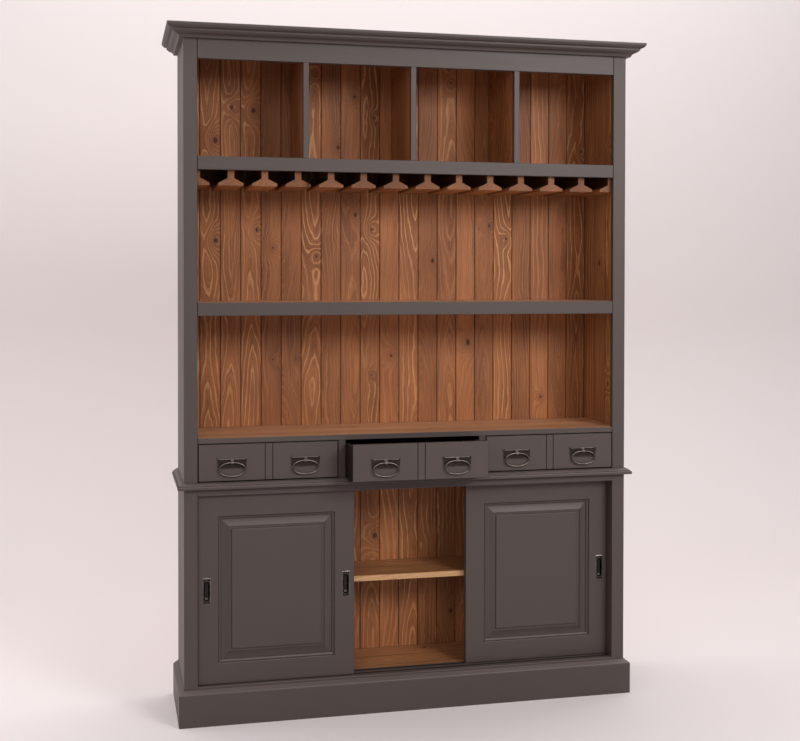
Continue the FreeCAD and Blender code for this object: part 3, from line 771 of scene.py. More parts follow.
class WINECABINET_OT_boards(bpy.types.Operator):
    """Stain the back boards, dividers and stemware rails"""

    bl_idname = "wine_cabinet.boards"
    bl_label = "Stain the boards"

    # How strong the figure is, the share of the stain on the rails' sawn ends, and the heights over
    # the rails' feet between which the channels' shade sets in
    figures = {"hutch_back_boards": 0.0, "base_back_boards": 0.3, "stemware_rails": -1.0}
    sawn_end_share = 0.6
    shade_heights = (9 * MM, 22 * MM)
    front_limit = 0.5

    def execute(self, context):
        rack_low, rack_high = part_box("stemware_rails")
        channel = [rack_low.z + height for height in self.shade_heights]
        start = half_inner - BACK_BOARD_COUNT * BACK_BOARD_WIDTH
        for node in ("hutch_back_boards", "base_back_boards"):
            graph, shader, (x, y, z) = dressing(node)
            depth = graph.subtract(y, board_face_y)
            pine = pine_skin(graph, (x, depth, z), start, BACK_BOARD_WIDTH, SEEDS[node], "stained",
                             self.figures[node])
            # Painted shade on the back boards' front faces in the band behind the stemware channels
            racked = graph.times(graph.smooth(z, *channel), graph.math("LESS_THAN", z, rack_high.z))
            shaded = graph.times(racked, facing(graph, "Y", -1.0, self.front_limit))
            wear(graph, shader, deepened(graph, pine, shaded, CHANNEL_SHADE_SHARE), PINE_RELIEF)
        node = "cubby_dividers"
        graph, shader, (x, y, z) = dressing(node)
        pine = pine_skin(graph, (y, x, z), face_y, GLUED_STRIP_WIDTH, SEEDS[node])
        wear(graph, shader, pine, PINE_RELIEF)
        self.rack(rack_low.z, channel)
        return {"FINISHED"}

    def rack(self, foot, channel):
        """Stemware rails: plain pine with darker sawn ends, and shade in the channels between them."""
        node = "stemware_rails"
        graph, shader, (x, y, z) = dressing(node)
        slot = 2 * half_opening / STEMWARE_SLOT_COUNT
        depth = graph.subtract(z, foot)
        pine = pine_skin(graph, (x, depth, y), -half_opening - slot / 2, slot, SEEDS[node], "stained",
                         self.figures[node])
        sawn = facing(graph, "Y", -1.0)
        inside = graph.times(graph.smooth(z, *channel), graph.subtract(1.0, sawn))
        pine = deepened(graph, pine, sawn, self.sawn_end_share)
        wear(graph, shader, deepened(graph, pine, inside, CHANNEL_SHADE_SHARE), PINE_RELIEF)


class WINECABINET_OT_shelves(bpy.types.Operator):
    """Stain the shelves and floors, and paint or leave their edges"""

    bl_idname = "wine_cabinet.shelves"
    bl_label = "Stain the shelves"

    # Level tops take the lighter level copy of the stain, a painted sheen; the base floor takes the
    # bounce-lit copy, painted light; the hutch floor is near-black, painted shade in the gap under the
    # drawers
    kinds = {"counter_board": "level", "middle_shelf": "level", "cubby_shelf": "level",
             "base_floor": "bounce_lit", "hutch_floor": "dark", "base_top_board": "level"}
    edge_skin = 1 * MM

    def execute(self, context):
        for node, kind in self.kinds.items():
            graph, shader, place = dressing(node)
            pine = level_pine(graph, place, node, kind)
            # Painted shade on the cubby shelf's underside, above the stemware channels
            if node == "cubby_shelf":
                pine = deepened(graph, pine, facing(graph, "Z", -1.0), CHANNEL_SHADE_SHARE)
            wear(graph, shader, pine, PINE_RELIEF)
        self.rails()
        self.top_board()
        self.loose_shelf()
        return {"FINISHED"}

    def rails(self):
        """Rails on the shelves' front edges: painted, with the shelf's stain on top, and painted shade on
        the counter rail's underside above the drawers.
        """
        for node in ("counter_rail", "shelf_rails"):
            graph, shader, place = dressing(node, PAINT_GLOSS)
            coat = paint_skin(graph, place, "x")
            if node == "counter_rail":
                painted_shade = paint_skin(graph, place, "x", SHADE_SHARE)
                coat = blend_skins(graph, facing(graph, "Z", -1.0), coat, painted_shade)
            pine = level_pine(graph, place, node)
            wear(graph, shader, blend_skins(graph, facing(graph, "Z", 1.0), coat, pine), PAINT_RELIEF)

    def top_board(self):
        """The top board: painted above, stained inside the cubbies."""
        node = "hutch_top_board"
        graph, shader, place = dressing(node, PAINT_GLOSS)
        paint = paint_skin(graph, place, "x")
        pine = level_pine(graph, place, node)
        wear(graph, shader, blend_skins(graph, facing(graph, "Z", 1.0), pine, paint), PAINT_RELIEF)

    def loose_shelf(self):
        """The cupboard's loose shelf: stained, with a raw sawn front edge."""
        node = "base_shelf"
        graph, shader, place = dressing(node)
        front = graph.math("LESS_THAN", place["Y"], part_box(node)[0].y + self.edge_skin)
        # The stained top takes the bounce-lit copy of the stain, which is painted light
        stained = level_pine(graph, place, node, "bounce_lit")
        raw = level_pine(graph, place, node, "raw", "base_shelf_edge")
        wear(graph, shader, blend_skins(graph, front, stained, raw), PINE_RELIEF)


class WINECABINET_OT_joinery(bpy.types.Operator):
    """Near-black pine for the drawer boxes, and raw pine for bearers and guides"""

    bl_idname = "wine_cabinet.joinery"
    bl_label = "Finish the inside"

    painted_depth = 2 * MM

    def execute(self, context):
        raw = self.joinery_material("raw_pine", "raw", PINE_GLOSS)
        for node in ("floor_bearers", "shelf_bearers", "drawer_guides"):
            dress(node, raw)
        dark = self.joinery_material("dark_pine", "dark", DARK_GLOSS)
        for drawer in DRAWERS:
            dress(drawer + "_drawer_box", dark)
            node = drawer + "_drawer_bottom"
            graph, shader, place = dressing(node)
            wear(graph, shader, level_pine(graph, place, node, "dark"), PINE_RELIEF)
        self.partitions()
        return {"FINISHED"}

    def joinery_material(self, name, kind, gloss):
        """Pine for small pieces that run either way on the level."""
        material, graph, shader = new_material(name, gloss)
        axes = along_axes(graph, object_place(graph), "xy")
        pine = pine_skin(graph, axes, 0.0, DRAWER_SIDE_WIDTH, SEEDS[name], kind)
        wear(graph, shader, pine, PINE_RELIEF)
        return material

    def partitions(self):
        """Partitions between the drawers: near-black, painted shade in the gaps beside the drawers, with
        painted front edges.
        """
        node = "drawer_partitions"
        graph, shader, place = dressing(node, DARK_GLOSS)
        x, y, z = place
        front = graph.math("LESS_THAN", y, face_y + self.painted_depth)
        pine = pine_skin(graph, (z, x, y), 0.0, DRAWER_SIDE_WIDTH, SEEDS[node], "dark")
        wear(graph, shader, blend_skins(graph, front, pine, paint_skin(graph, place, "z")), PAINT_RELIEF)


def corners(node):
    """A node's lowest and highest corner as arrays."""
    low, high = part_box(node)
    return np.array(low), np.array(high)


# Points of a surface that are closer than this are one point
WELD_DISTANCE = 1e-6


def loops_mesh(name, loops, close_rows=False, rubbed=0.0, hollow=0.0):
    """A mesh from loops of points, each loop joined to the next and closed on itself.

    loops is an array of rows, points in a row, and x, y, z. Without close_rows the first and last
    loops are capped. rubbed and hollow, the wear with painted highlights and the
    painted shade that the skins read, are numbers or fit the rows.
    """
    rows, count, _ = loops.shape
    index = np.arange(rows * count).reshape(rows, count)
    near = index if close_rows else index[:-1]
    far = np.roll(index, -1, axis=0) if close_rows else index[1:]
    quads = np.stack([near, np.roll(near, -1, axis=1), np.roll(far, -1, axis=1), far], axis=-1)
    faces = quads.reshape(-1, 4).tolist()
    if not close_rows:
        faces += [index[0].tolist(), index[-1].tolist()]
    mesh = bpy.data.meshes.new(name)
    mesh.from_pydata(loops.reshape(-1, 3).tolist(), [], faces)
    for label, share in (("rubbed", rubbed), ("hollow", hollow)):
        layer = mesh.attributes.new(label, "FLOAT", "POINT")
        layer.data.foreach_set("value", np.broadcast_to(share, (rows, count)).astype(np.float32).ravel())
    return mesh


def tidy_mesh(mesh, sharp_degrees=35.0):
    """Merge doubles, turn faces outwards, and shade smooth up to an angle."""
    edit = bmesh.new()
    edit.from_mesh(mesh)
    bmesh.ops.remove_doubles(edit, verts=edit.verts, dist=WELD_DISTANCE)
    bmesh.ops.dissolve_degenerate(edit, edges=edit.edges, dist=WELD_DISTANCE)
    bmesh.ops.recalc_face_normals(edit, faces=edit.faces)
    edit.to_mesh(mesh)
    edit.free()
    mesh.shade_smooth()
    mesh.set_sharp_from_angle(angle=math.radians(sharp_degrees))


def join_meshes(name, meshes):
    """One mesh from several."""
    edit = bmesh.new()
    for mesh in meshes:
        edit.from_mesh(mesh)
        bpy.data.meshes.remove(mesh)
    joined = bpy.data.meshes.new(name)
    edit.to_mesh(joined)
    edit.free()
    return joined


def place_piece(name, mesh, body):
    """A finished iron piece that rides on a body."""
    tidy_mesh(mesh)
    mesh.materials.append(bpy.data.materials.get("black_iron_skin") or iron_material("black_iron_skin"))
    piece = bpy.data.objects.new(name, mesh)
    bpy.context.scene.collection.objects.link(piece)
    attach(piece, body)
    return piece


def arc_points(start, middle, end, steps):
    """Points after start on the circle through three points, up to end, in plane coordinates."""
    ax, ay = start
    bx, by = middle
    cx, cy = end
    d = 2 * (ax * (by - cy) + bx * (cy - ay) + cx * (ay - by))
    a, b, c = ax * ax + ay * ay, bx * bx + by * by, cx * cx + cy * cy
    ux = (a * (by - cy) + b * (cy - ay) + c * (ay - by)) / d
    uy = (a * (cx - bx) + b * (ax - cx) + c * (bx - ax)) / d
    first = math.atan2(ay - uy, ax - ux)
    turn = [(math.atan2(y - uy, x - ux) - first) % (2 * math.pi) for x, y in (middle, end)]
    sweep = turn[1] if turn[0] < turn[1] else turn[1] - 2 * math.pi
    angles = first + sweep * np.arange(1, steps + 1) / steps
    radius = math.hypot(ax - ux, ay - uy)
    return np.column_stack([ux + radius * np.cos(angles), uy + radius * np.sin(angles)])


def evenly(path, count=161):
    """A path's points again, at even steps along it that close up towards both ends."""
    run = np.concatenate([[0.0], np.cumsum(np.linalg.norm(np.diff(path, axis=0), axis=1))])
    steps = run[-1] * (0.5 - 0.5 * np.cos(np.linspace(0, math.pi, count)))
    return np.column_stack([np.interp(steps, run, part) for part in path.T])


def inset(outline, distance):
    """An outline moved inwards along its normals; it runs clockwise or the other way."""
    tangent = np.roll(outline, -1, axis=0) - np.roll(outline, 1, axis=0)
    tangent /= np.linalg.norm(tangent, axis=1, keepdims=True)
    x, y = outline.T
    area = np.sum(x * np.roll(y, -1) - np.roll(x, -1) * y)
    normal = np.column_stack([-tangent[:, 1], tangent[:, 0]]) * np.sign(area)
    return outline + normal * distance


class WINECABINET_OT_waist(bpy.types.Operator):
    """Run the waist moulding round the cabinet"""

    bl_idname = "wine_cabinet.waist"
    bl_label = "Run the waist moulding"

    # Section as shares of the projection and the height: foot, nose, quirk, sloping hollow, top
    foot_shares = ((0.0, 0.0),)
    nose_shares = ((0.88, 0.0), (0.965, 0.035), (1.0, 0.13), (1.0, 0.37), (0.97, 0.46), (0.90, 0.52))
    quirk_shares = ((0.88, 0.52), (0.865, 0.36), (0.79, 0.36), (0.775, 0.63))
    slope_shares = ((0.55, 0.79), (0.13, 0.98))
    top_shares = ((0.13, 1.0), (0.0, 1.0))

    def section(self):
        """The closed section, and how far each of its points lies in the quirk."""
        nose, quirk = np.array(self.nose_shares), np.array(self.quirk_shares)
        points = np.vstack([
            self.foot_shares, nose[:1], arc_points(*nose[:3], steps=6), nose[3:4],
            arc_points(*nose[3:], steps=8), quirk, arc_points(quirk[-1], *self.slope_shares, steps=10),
            self.top_shares])
        sunk = (points[:, None, :] == quirk[None, 1:3, :]).all(axis=-1).any(axis=-1)
        return points, sunk.astype(float)

    def execute(self, context):
        """The section at four stations: left end, two mitres, right end."""
        low, high = corners("waist_moulding")
        shares, sunk = self.section()
        reach = (face_y - low[1]) * (shares[:, 0] - 1.0)
        z = low[2] + (high[2] - low[2]) * shares[:, 1]
        side, front = high[0] + reach, low[1] - reach
        back = np.full_like(z, high[1])
        stations = ((-side, back), (-side, front), (side, front), (side, back))
        loops = np.array([np.column_stack([x, y, z]) for x, y in stations])
        mesh = loops_mesh("waist_run", loops, hollow=sunk)
        tidy_mesh(mesh)
        # The quirk is darkened with painted shade
        mesh.materials.append(shaded_paint("paint_waist", "x", self.in_quirk))
        piece = bpy.data.objects.new("waist_run", mesh)
        context.scene.collection.objects.link(piece)
        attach(piece, "carcass")
        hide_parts("waist_moulding")
        return {"FINISHED"}

    def in_quirk(self, graph, place):
        """Mask of the painted shade in the quirk, which the mesh marks with hollow."""
        return graph.node("ShaderNodeAttribute", attribute_name="hollow").outputs["Fac"]


class WINECABINET_OT_rings(bpy.types.Operator):
    """Make the six drawer rings"""

    bl_idname = "wine_cabinet.rings"
    bl_label = "Hang the rings"

    # Points round the ring and round its wire, and the power that flattens the ring's ellipse
    ring_steps = 144
    wire_steps = 18
    squareness = 0.94

    # The wire is brightened along a line that looks forwards and up: partly wear, partly a painted
    # highlight
    wear_highlight_way = (0.0, -0.8, 0.6)
    wear_highlight_low = 0.06
    wear_highlight_rise = 0.52
    wear_highlight_power = 4

    def execute(self, context):
        wire = context.scene.cabinet_hardware.wire_radius
        for drawer in DRAWERS:
            for hand in HANDS:
                node = f"{drawer}_drawer_bail_{hand}"
                low, high = corners(node)
                mesh = self.ring(node + "_ring", (low + high) / 2, (high - low) / 2 - wire, wire)
                piece = place_piece(node + "_ring", mesh, node)
                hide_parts(node)
        return {"FINISHED"}

    def ring(self, name, middle, half, wire):
        """An oval of round wire: an ellipse drawn out to a flatter top, swept by a circle."""
        t = np.linspace(0, 2 * math.pi, self.ring_steps, endpoint=False)
        s = np.linspace(0, 2 * math.pi, self.wire_steps, endpoint=False)
        cosine, sine = np.cos(t), np.sin(t)
        x = half[0] * np.sign(cosine) * np.abs(cosine) ** self.squareness
        z = half[2] * np.sign(sine) * np.abs(sine) ** self.squareness
        path = np.column_stack([x, np.zeros_like(x), z])
        tangent = np.roll(path, -1, axis=0) - np.roll(path, 1, axis=0)
        tangent /= np.linalg.norm(tangent, axis=1, keepdims=True)
        outward = np.column_stack([tangent[:, 2], np.zeros_like(x), -tangent[:, 0]])
        forward = np.array([0.0, 1.0, 0.0])
        circle = (np.cos(s)[None, :, None] * outward[:, None, :]
                  + np.sin(s)[None, :, None] * forward[None, None, :])
        turned = np.clip(circle @ self.wear_highlight_way, 0, 1)
        bright = self.wear_highlight_low + self.wear_highlight_rise * turned ** self.wear_highlight_power
        return loops_mesh(name, middle + path[:, None, :] + wire * circle, close_rows=True, rubbed=bright)


class WINECABINET_OT_plates(bpy.types.Operator):
    """Make the drawers' horned back plates with curled straps"""

    bl_idname = "wine_cabinet.plates"
    bl_label = "Fix the back plates"

    # Right half of the outline as shares of half width and height: top edge, horn, side, foot
    top_flat_share = 0.66
    dip_share = 0.15
    horn_shares = (0.88, -0.125)
    side_shares = (0.955, -0.68)
    corner_shares = ((0.915, -0.89), (0.80, -1.0))
    cross_steps = 41

    # Border round the sunk field, and the edge that is rubbed bright
    border_width = 0.0022
    border_slope = 0.0009
    field_drop = 0.0006
    # Border round the sunk field, and the edge that is worn bright
    rubbed_width = 0.0009
    rubbed_reach = 1.6
    rubbed_share = 0.6

    # The strap: its width and eased edges, its play on the wire, its root in the plate, its straight
    # run, its curl in degrees, and how bright it is at the top and how much more at the foot, partly wear
    # and partly a painted highlight
    strap_half_width = 0.0049
    strap_ease = 0.0004
    strap_play = 0.0003
    root_share = 0.6
    root_drop = 0.0012
    run_steps = 7
    curl_turn = (62.0, -205.0)
    curl_steps = 40
    strap_wear_highlight = (0.2, 0.55)

    def execute(self, context):
        sizes = context.scene.cabinet_hardware
        for drawer in DRAWERS:
            node = drawer + "_drawer_plates"
            low, high = corners(node)
            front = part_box(drawer + "_drawer_front")[0].y
            meshes = []
            for hand, edge in zip(HANDS, (low[0], high[0])):
                ring_low, ring_high = corners(f"{drawer}_drawer_bail_{hand}")
                middle = (ring_low[0] + ring_high[0]) / 2
                half = abs(edge - middle)
                axis = ((ring_low[1] + ring_high[1]) / 2, ring_high[2] - sizes.wire_radius)
                head = high[2] - self.dip_share * (high[2] - low[2])
                meshes.append(self.plate(sizes, middle, half, front, low[2], high[2]))
                meshes.append(self.strap(sizes, middle, front, axis, head))
            piece = place_piece(drawer + "_drawer_back_plates", join_meshes(node, meshes),
                                drawer + "_drawer")
            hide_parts(node)
        return {"FINISHED"}

    def edges(self, half, height):
        """Top edge, and the sides with the foot, each from the left horn to the right one."""
        shares = ((self.top_flat_share, -self.dip_share), self.horn_shares, (1.0, 0.0), self.side_shares,
                  *self.corner_shares)
        flat, horn, tip, side, corner, foot = np.array(shares) * [half, height]
        top = np.vstack([[[0.0, flat[1]], flat], arc_points(flat, horn, tip, steps=24)])
        rest = np.vstack([tip, side, arc_points(side, corner, foot, steps=16), [[0.0, foot[1]]]])
        mirror = np.array([-1.0, 1.0])
        return (evenly(np.vstack([top[:0:-1] * mirror, top])),
                evenly(np.vstack([rest[:-1] * mirror, rest[::-1]])))

    def plate(self, sizes, middle, half, front, foot, top):
        """The plate: straight lines from the top edge to the foot, as high as the distance from the
        nearest edge allows: a quarter round at the edge, a border, and a field sunk a little."""
        upper, lower = self.edges(half, top - foot)
        blend = 0.5 - 0.5 * np.cos(np.linspace(0, math.pi, self.cross_steps))[None, :, None]
        face = upper[:, None, :] * (1 - blend) + lower[:, None, :] * blend
        outline = np.vstack([upper, lower])
        gaps = np.linalg.norm(face[:, :, None, :] - outline[None, None, :, :], axis=-1).min(axis=-1)
        gaps[:, [0, -1]] = 0.0
        gaps[[0, -1], :] = 0.0
        edge = sizes.edge_round - np.minimum(gaps, sizes.edge_round)
        lift = sizes.plate_thick - sizes.edge_round + np.sqrt(sizes.edge_round ** 2 - edge ** 2)
        step = np.clip((gaps - self.border_width) / self.border_slope, 0, 1)
        lift -= self.field_drop * step * step * (3 - 2 * step)
        rise = np.concatenate([lift, np.zeros_like(lift)], axis=1)
        round_trip = np.concatenate([face, face[:, ::-1]], axis=1)
        bright = self.rubbed_share * np.clip(self.rubbed_reach - gaps / self.rubbed_width, 0, 1)
        points = np.stack([middle + round_trip[..., 0], front - rise, top + round_trip[..., 1]], axis=-1)
        return loops_mesh("plate", points, rubbed=np.concatenate([bright, bright[:, ::-1]], axis=1))

    def strap(self, sizes, middle, front, axis, head):
        """The strap: a band that leaves the plate's head and curls round the ring's axis."""
        axis_y, axis_z = axis
        bore = sizes.wire_radius + self.strap_play
        radius = bore + sizes.strap_thick / 2
        turn = np.linspace(*np.radians(self.curl_turn), self.curl_steps)
        curl = np.column_stack([axis_y - radius * np.cos(turn), axis_z + radius * np.sin(turn)])
        root = np.array([front - sizes.plate_thick * self.root_share, head - self.root_drop])
        run = root + (curl[0] - root) * np.linspace(0, 1, self.run_steps, endpoint=False)[:, None]
        centre = np.vstack([run, curl])
        tangent = np.gradient(centre, axis=0)
        tangent /= np.linalg.norm(tangent, axis=1, keepdims=True)
        normal = np.column_stack([-tangent[:, 1], tangent[:, 0]]) * sizes.strap_thick / 2
        outline = np.vstack([centre + normal, (centre - normal)[::-1]])
        loops = []
        reach, ease = self.strap_half_width, self.strap_ease
        for x, margin in ((-reach, ease), (ease - reach, 0.0), (reach - ease, 0.0), (reach, ease)):
            y, z = inset(outline, margin).T
            loops.append(np.column_stack([np.full_like(y, middle + x), y, z]))
        loops = np.array(loops)
        low, rise = self.strap_wear_highlight
        bright = low + rise * np.clip(0.5 - (loops[..., 2] - axis_z) / (2 * radius), 0, 1)
        return loops_mesh("strap", loops, rubbed=bright)


class WINECABINET_OT_pulls(bpy.types.Operator):
    """Make the doors' flush pulls"""

    bl_idname = "wine_cabinet.pulls"
    bl_label = "Let in the flush pulls"

    plate_half = (0.0125, 0.041)
    cup_half = (0.009, 0.031)
    cup_depth = 0.0098
    cup_wall = 0.0008
    seat = -0.0002
    pull_counts = {"left": 2, "right": 1}

    # Half width of the narrow rings that close the back and the floor, and the floor's half length
    pole_half = 0.0004
    floor_half = 0.009

    # The plate from its edge to its sunk corners: inset, corner radius, height, wear, painted shade
    plate_rings = (
        (0.0, 0.0012, -0.0002, 0.6, 0.0), (0.0, 0.0012, 0.0009, 0.9, 0.0),
        (0.0004, 0.0012, 0.0012, 1.0, 0.0), (0.0011, 0.001, 0.0015, 0.9, 0.0),
        (0.0017, 0.0008, 0.0015, 0.5, 0.0), (0.0020, 0.0006, 0.0009, 0.05, 0.5),
    )
    # The rim and the cup down to its floor: how much wider and longer than the cup, height, wear with a
    # faint painted reflection on the floor, painted shade
    cup_rings = (
        (0.0019, 0.0034, 0.0009, 0.05, 0.5), (0.0016, 0.0030, 0.0015, 0.5, 0.0),
        (0.0011, 0.0022, 0.0017, 0.5, 0.0), (0.0004, 0.0006, 0.0014, 0.0, 1.0),
        (0.0, 0.0, 0.0005, 0.0, 1.0), (-0.0003, -0.0004, -0.0036, 0.0, 1.0),
        (-0.0009, -0.0014, -0.0056, 0.0, 1.0), (-0.0019, -0.0038, -0.0073, 0.05, 0.8),
        (-0.0034, -0.0085, -0.0089, 0.12, 0.6), (-0.0055, -0.0150, -0.0098, 0.12, 0.6),
    )

    @classmethod
    def places(cls, hand):
        """Middles of a door's pulls on its face, from the ends of their node."""
        low, high = corners(hand + "_door_pulls")
        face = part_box(hand + "_door_frame")[0].y
        ends = (low[0] + cls.plate_half[0], high[0] - cls.plate_half[0])
        return [(x, face, (low[2] + high[2]) / 2) for x in ends[:cls.pull_counts[hand]]]

    def execute(self, context):
        for hand in HANDS:
            node = hand + "_door_pulls"
            meshes = [self.pull(*place) for place in self.places(hand)]
            piece = place_piece(hand + "_door_flush_pulls", join_meshes(node, meshes), hand + "_door")
            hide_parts(node)
        return {"FINISHED"}

    def rectangle(self, half_x, half_z, radius, steps=14):
        """A rectangle with round corners, walked once round."""
        turn = np.linspace(0, math.pi / 2, steps)
        corner = radius * np.column_stack([np.cos(turn), np.sin(turn)])
        quarter = corner + [half_x - radius, half_z - radius]
        return np.vstack([quarter, quarter[::-1] * [-1, 1], -quarter, quarter[::-1] * [1, -1]])

    def pull(self, x, face, z):
        """Back of the cup, plate edge, sunk corners, raised rim and inside of the cup as rings.

        Each has a half width, a half length, a corner radius, a height, its wear, and its painted shade.
        The first and the last ring are so narrow that they close the surface.
        """
        plate_x, plate_z = self.plate_half
        cup_x, cup_z = self.cup_half
        pole, deep = self.pole_half, -self.cup_depth
        wall_x, wall_z = cup_x + self.cup_wall, cup_z + self.cup_wall
        rings = [
            (pole, cup_z - cup_x, pole, deep - self.cup_wall, 0.0, 0.0),
            (wall_x, wall_z, wall_x, deep - self.cup_wall, 0.0, 0.0),
            (wall_x, wall_z, wall_x, self.seat, 0.0, 0.0),
        ]
        rings += [(plate_x - sunk, plate_z - sunk, corner, *finish)
                  for sunk, corner, *finish in self.plate_rings]
        rings += [(cup_x + wide, cup_z + long, cup_x + wide, *finish)
                  for wide, long, *finish in self.cup_rings]
        floor = self.cup_rings[-1][-3:]
        rings.append((pole, self.floor_half, pole, *floor))
        loops = []
        for half_x, half_z, corner, height, _, _ in rings:
            a, b = self.rectangle(half_x, half_z, corner).T
            loops.append(np.column_stack([x + a, np.full_like(a, face - height), z + b]))
        rubbed, hollow = np.array(rings)[:, 4:].T[:, :, None]
        return loops_mesh("pull", np.array(loops), rubbed=rubbed, hollow=hollow)


class WINECABINET_OT_screws(bpy.types.Operator):
    """Drive the small screws of the plates and the flush pulls"""

    bl_idname = "wine_cabinet.screws"
    bl_label = "Drive the screws"

    # Places of a plate's pins as shares of its half width, and down from its top; the places of a
    # pull's screws from its edges, and how far they stand out of its sunk corners
    pin_places = ((0.905, 0.0058), (0.875, 0.0262))
    pull_inset = (0.0039, 0.0043)
    pull_seat = 0.0008

    # The head: its grid, the hole that is left in the middle, the rim and the dome as shares of the
    # radius, the dome's flatness, and the slot's half width as a share of the radius and its floor
    # as a share of the dome
    circle_steps = 32
    dome_steps = 9
    middle_share = 0.02
    rim_share = 0.18
    dome_share = 0.3
    dome_flatness = 0.94
    slot_share = 0.16
    slot_floor = 0.45
    # How far the heads are darkened towards the near-black of the hollow iron
    head_darkness = 0.9

    def execute(self, context):
        sizes = context.scene.cabinet_hardware
        for drawer in DRAWERS:
            low, high = corners(drawer + "_drawer_plates")
            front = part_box(drawer + "_drawer_front")[0].y - sizes.plate_thick
            heads = []
            for hand, edge in zip(HANDS, (low[0], high[0])):
                ring_low, ring_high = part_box(f"{drawer}_drawer_bail_{hand}")
                middle = (ring_low.x + ring_high.x) / 2
                for share, drop in self.pin_places:
                    reach = share * abs(edge - middle)
                    heads += [self.head(middle + s * reach, front, high[2] - drop, sizes.screw_radius)
                              for s in (-1, 1)]
            place_piece(drawer + "_drawer_plate_screws", join_meshes("screws", heads), drawer + "_drawer")
        for hand in HANDS:
            self.pull_screws(hand, sizes.screw_radius)
        return {"FINISHED"}

    def pull_screws(self, hand, radius):
        """Four screws in the sunk corners of each flush pull."""
        reach_x, reach_z = np.subtract(WINECABINET_OT_pulls.plate_half, self.pull_inset)
        heads = []
        for x, face, z in WINECABINET_OT_pulls.places(hand):
            heads += [self.head(x + a * reach_x, face - self.pull_seat, z + b * reach_z, radius)
                      for a in (-1, 1) for b in (-1, 1)]
        place_piece(hand + "_door_pull_screws", join_meshes("screws", heads), hand + "_door")

    def head(self, x, y, z, radius):
        """A domed head with a straight slot: height over a polar grid, lower inside the slot."""
        r = np.concatenate([[1.0], np.linspace(1.0, self.middle_share, self.dome_steps)])
        t = np.linspace(0, 2 * math.pi, self.circle_steps, endpoint=False)
        a = radius * r[:, None] * np.cos(t)
        b = radius * r[:, None] * np.sin(t)
        bulge = np.sqrt(np.clip(1 - (self.dome_flatness * r) ** 2, 0, 1))
        dome = radius * (self.rim_share + self.dome_share * bulge)[:, None] * np.ones_like(a)
        slot = np.abs(b) < radius * self.slot_share
        lift = np.where(slot, dome * self.slot_floor, dome)
        lift[0] = 0.0
        return loops_mesh("head", np.stack([x + a, y - lift, z + b], axis=-1), hollow=self.head_darkness)


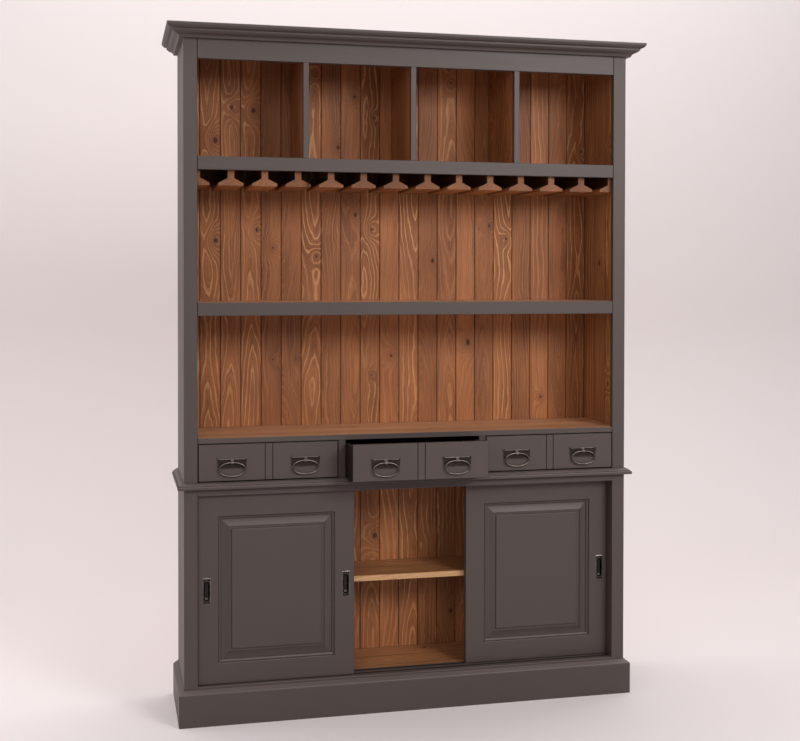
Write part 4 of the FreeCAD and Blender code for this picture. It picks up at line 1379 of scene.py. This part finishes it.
class WINECABINET_OT_stage(bpy.types.Operator):
    """Set up the backdrop, the lights and the camera"""

    bl_idname = "wine_cabinet.stage"
    bl_label = "Set the stage"

    # Each lamp's place, the point that it looks at, and its width and height
    middle = (0.0, 0.0, 1.05)
    lamps = {
        "key": ((1.8, -3.7, 2.7), middle, (1.5, 1.3)),
        "fill": ((-2.0, -4.0, 2.9), middle, (2.4, 1.8)),
        "side": ((-3.3, 0.35, 1.5), middle, (1.6, 2.4)),
        "wall": ((0.6, 0.9, 4.6), (0.6, 2.6, 1.0), (6.0, 0.6)),
    }

    # The sky's tint, the heights between which it brightens, and its rise and foot for soft light
    # and for what gloss mirrors
    sky_tint = (1.0, 0.97, 0.96)
    sky_heights = (0.1, 0.8)
    soft_line = (1.5, 0.55)
    gloss_line = (4.8, 0.24)
    backdrop_roughness = 0.8

    def execute(self, context):
        stage = context.scene.cabinet_stage
        self.backdrop(stage)
        self.world(context, stage)
        for name, setting in self.lamps.items():
            self.lamp(name + "_lamp", *setting, getattr(stage, name + "_power"))
        self.camera(context, stage)
        context.scene.view_settings.view_transform = "Standard"
        return {"FINISHED"}

    def backdrop(self, stage):
        """Floor that sweeps up into a wall: a line, a quarter round and a line, drawn out sideways."""
        half_width, front, back, bend, head = 9.0, -9.0, 2.6, 1.2, 6.0
        bend_steps = 24
        turn = np.linspace(-math.pi / 2, 0, bend_steps)
        sweep = np.column_stack([back - bend + bend * np.cos(turn), bend + bend * np.sin(turn)])
        profile = np.vstack([[front, 0.0], sweep, [back, head]])
        points = [np.column_stack([np.full(len(profile), x), profile]) for x in (-half_width, half_width)]
        index = np.arange(len(profile) - 1)
        faces = np.column_stack([index, index + len(profile), index + len(profile) + 1, index + 1])
        mesh = bpy.data.meshes.new("backdrop")
        mesh.from_pydata(np.vstack(points).tolist(), [], faces.tolist())
        mesh.shade_smooth()
        piece = bpy.data.objects.new("backdrop", mesh)
        bpy.context.scene.collection.objects.link(piece)
        mesh.materials.append(self.backdrop_material(stage))

    def backdrop_material(self, stage):
        """Matt and pale from the front, and clear from behind."""
        material, graph, shader = new_material("backdrop")
        shader.inputs["Base Color"].default_value = opaque(stage.backdrop)
        shader.inputs["Roughness"].default_value = self.backdrop_roughness
        back = graph.node("ShaderNodeNewGeometry").outputs["Backfacing"]
        clear = graph.node("ShaderNodeBsdfTransparent").outputs[0]
        seen = graph.node("ShaderNodeMixShader", {0: back, 1: shader.outputs[0], 2: clear})
        output = next(n for n in material.node_tree.nodes if n.type == "OUTPUT_MATERIAL")
        graph.feed(output.inputs["Surface"], seen.outputs[0])
        return material

    def world(self, context, stage):
        """Soft light, stronger from above, and a pale sky where the camera sees past the backdrop."""
        world = bpy.data.worlds.new("studio")
        world.use_nodes = True
        world.node_tree.nodes.clear()
        graph = Graph(world.node_tree)
        path = graph.node("ShaderNodeLightPath").outputs
        seen = graph.math("MAXIMUM", path["Is Camera Ray"],
                          graph.math("MAXIMUM", path["Is Glossy Ray"], path["Is Transmission Ray"]))
        up = graph.parts(graph.node("ShaderNodeTexCoord").outputs["Generated"])["Z"]
        overhead = graph.smooth(up, *self.sky_heights)
        soft = graph.times(graph.scaled(overhead, *self.soft_line), stage.sky_strength)
        gloss = graph.scaled(overhead, *self.gloss_line)
        even = graph.node("ShaderNodeBackground", {"Color": opaque(self.sky_tint), "Strength": soft})
        pale = graph.node("ShaderNodeBackground", {
            "Color": opaque(stage.backdrop), "Strength": graph.between(path["Is Camera Ray"], gloss, 1.0)})
        mixed = graph.node("ShaderNodeMixShader", {0: seen, 1: even.outputs[0], 2: pale.outputs[0]})
        graph.node("ShaderNodeOutputWorld", {"Surface": mixed.outputs[0]})
        context.scene.world = world

    def lamp(self, name, place, target, size, power):
        """A rectangular soft lamp that looks at a target."""
        light = bpy.data.lights.new(name, "AREA")
        light.shape = "RECTANGLE"
        light.size, light.size_y = size
        light.energy = power
        lamp = bpy.data.objects.new(name, light)
        lamp.location = place
        lamp.rotation_euler = (Vector(target) - Vector(place)).to_track_quat("-Z", "Y").to_euler()
        bpy.context.scene.collection.objects.link(lamp)

    def camera(self, context, stage):
        """The camera at the photograph's place, with its lens and shift."""
        data = bpy.data.cameras.new("camera")
        data.sensor_width = 36.0
        data.lens = stage.lens
        data.shift_x, data.shift_y = stage.shift
        camera = bpy.data.objects.new("camera", data)
        turn = (Matrix.Rotation(-stage.camera_yaw, 4, "Z")
                @ Matrix.Rotation(math.pi / 2 - stage.camera_pitch, 4, "X")
                @ Matrix.Rotation(-stage.camera_roll, 4, "Z"))
        camera.matrix_world = Matrix.Translation(stage.camera_place) @ turn
        context.scene.collection.objects.link(camera)
        context.scene.camera = camera


class VIEW3D_PT_wine_cabinet(bpy.types.Panel):
    """Sidebar panel with the cabinet's steps and settings"""

    bl_label = "Wine Cabinet"
    bl_idname = "VIEW3D_PT_wine_cabinet"
    bl_space_type = "VIEW_3D"
    bl_region_type = "UI"
    bl_category = "Wine Cabinet"

    def draw(self, context):
        """One button for each step, and one box for each group of settings."""
        column = self.layout.column(align=True)
        for operator in OPERATORS:
            column.operator(operator.bl_idname)
        for name in SETTINGS:
            group = getattr(context.scene, name)
            box = self.layout.box()
            for key in group.bl_rna.properties.keys():
                if key not in ("rna_type", "name"):
                    box.prop(group, key)


OPERATORS = (
    WINECABINET_OT_paint, WINECABINET_OT_sides, WINECABINET_OT_boards, WINECABINET_OT_shelves,
    WINECABINET_OT_joinery, WINECABINET_OT_waist, WINECABINET_OT_rings, WINECABINET_OT_plates,
    WINECABINET_OT_pulls, WINECABINET_OT_screws, WINECABINET_OT_stage,
)
SETTINGS = {
    "cabinet_finish": CabinetFinish, "cabinet_hardware": CabinetHardware, "cabinet_stage": CabinetStage,
}


def register():
    """Register the classes and hang the settings on the scene."""
    for cls in (*SETTINGS.values(), *OPERATORS, VIEW3D_PT_wine_cabinet):
        bpy.utils.register_class(cls)
    for name, cls in SETTINGS.items():
        setattr(bpy.types.Scene, name, PointerProperty(type=cls))


def unregister():
    """Take everything off again, last first."""
    for name in reversed(SETTINGS):
        delattr(bpy.types.Scene, name)
    for cls in reversed((*SETTINGS.values(), *OPERATORS, VIEW3D_PT_wine_cabinet)):
        bpy.utils.unregister_class(cls)


def main():
    """Run every step in order."""
    register()
    for operator in OPERATORS:
        group, name = operator.bl_idname.split(".")
        getattr(getattr(bpy.ops, group), name)()


if __name__ == "__main__":
    main()
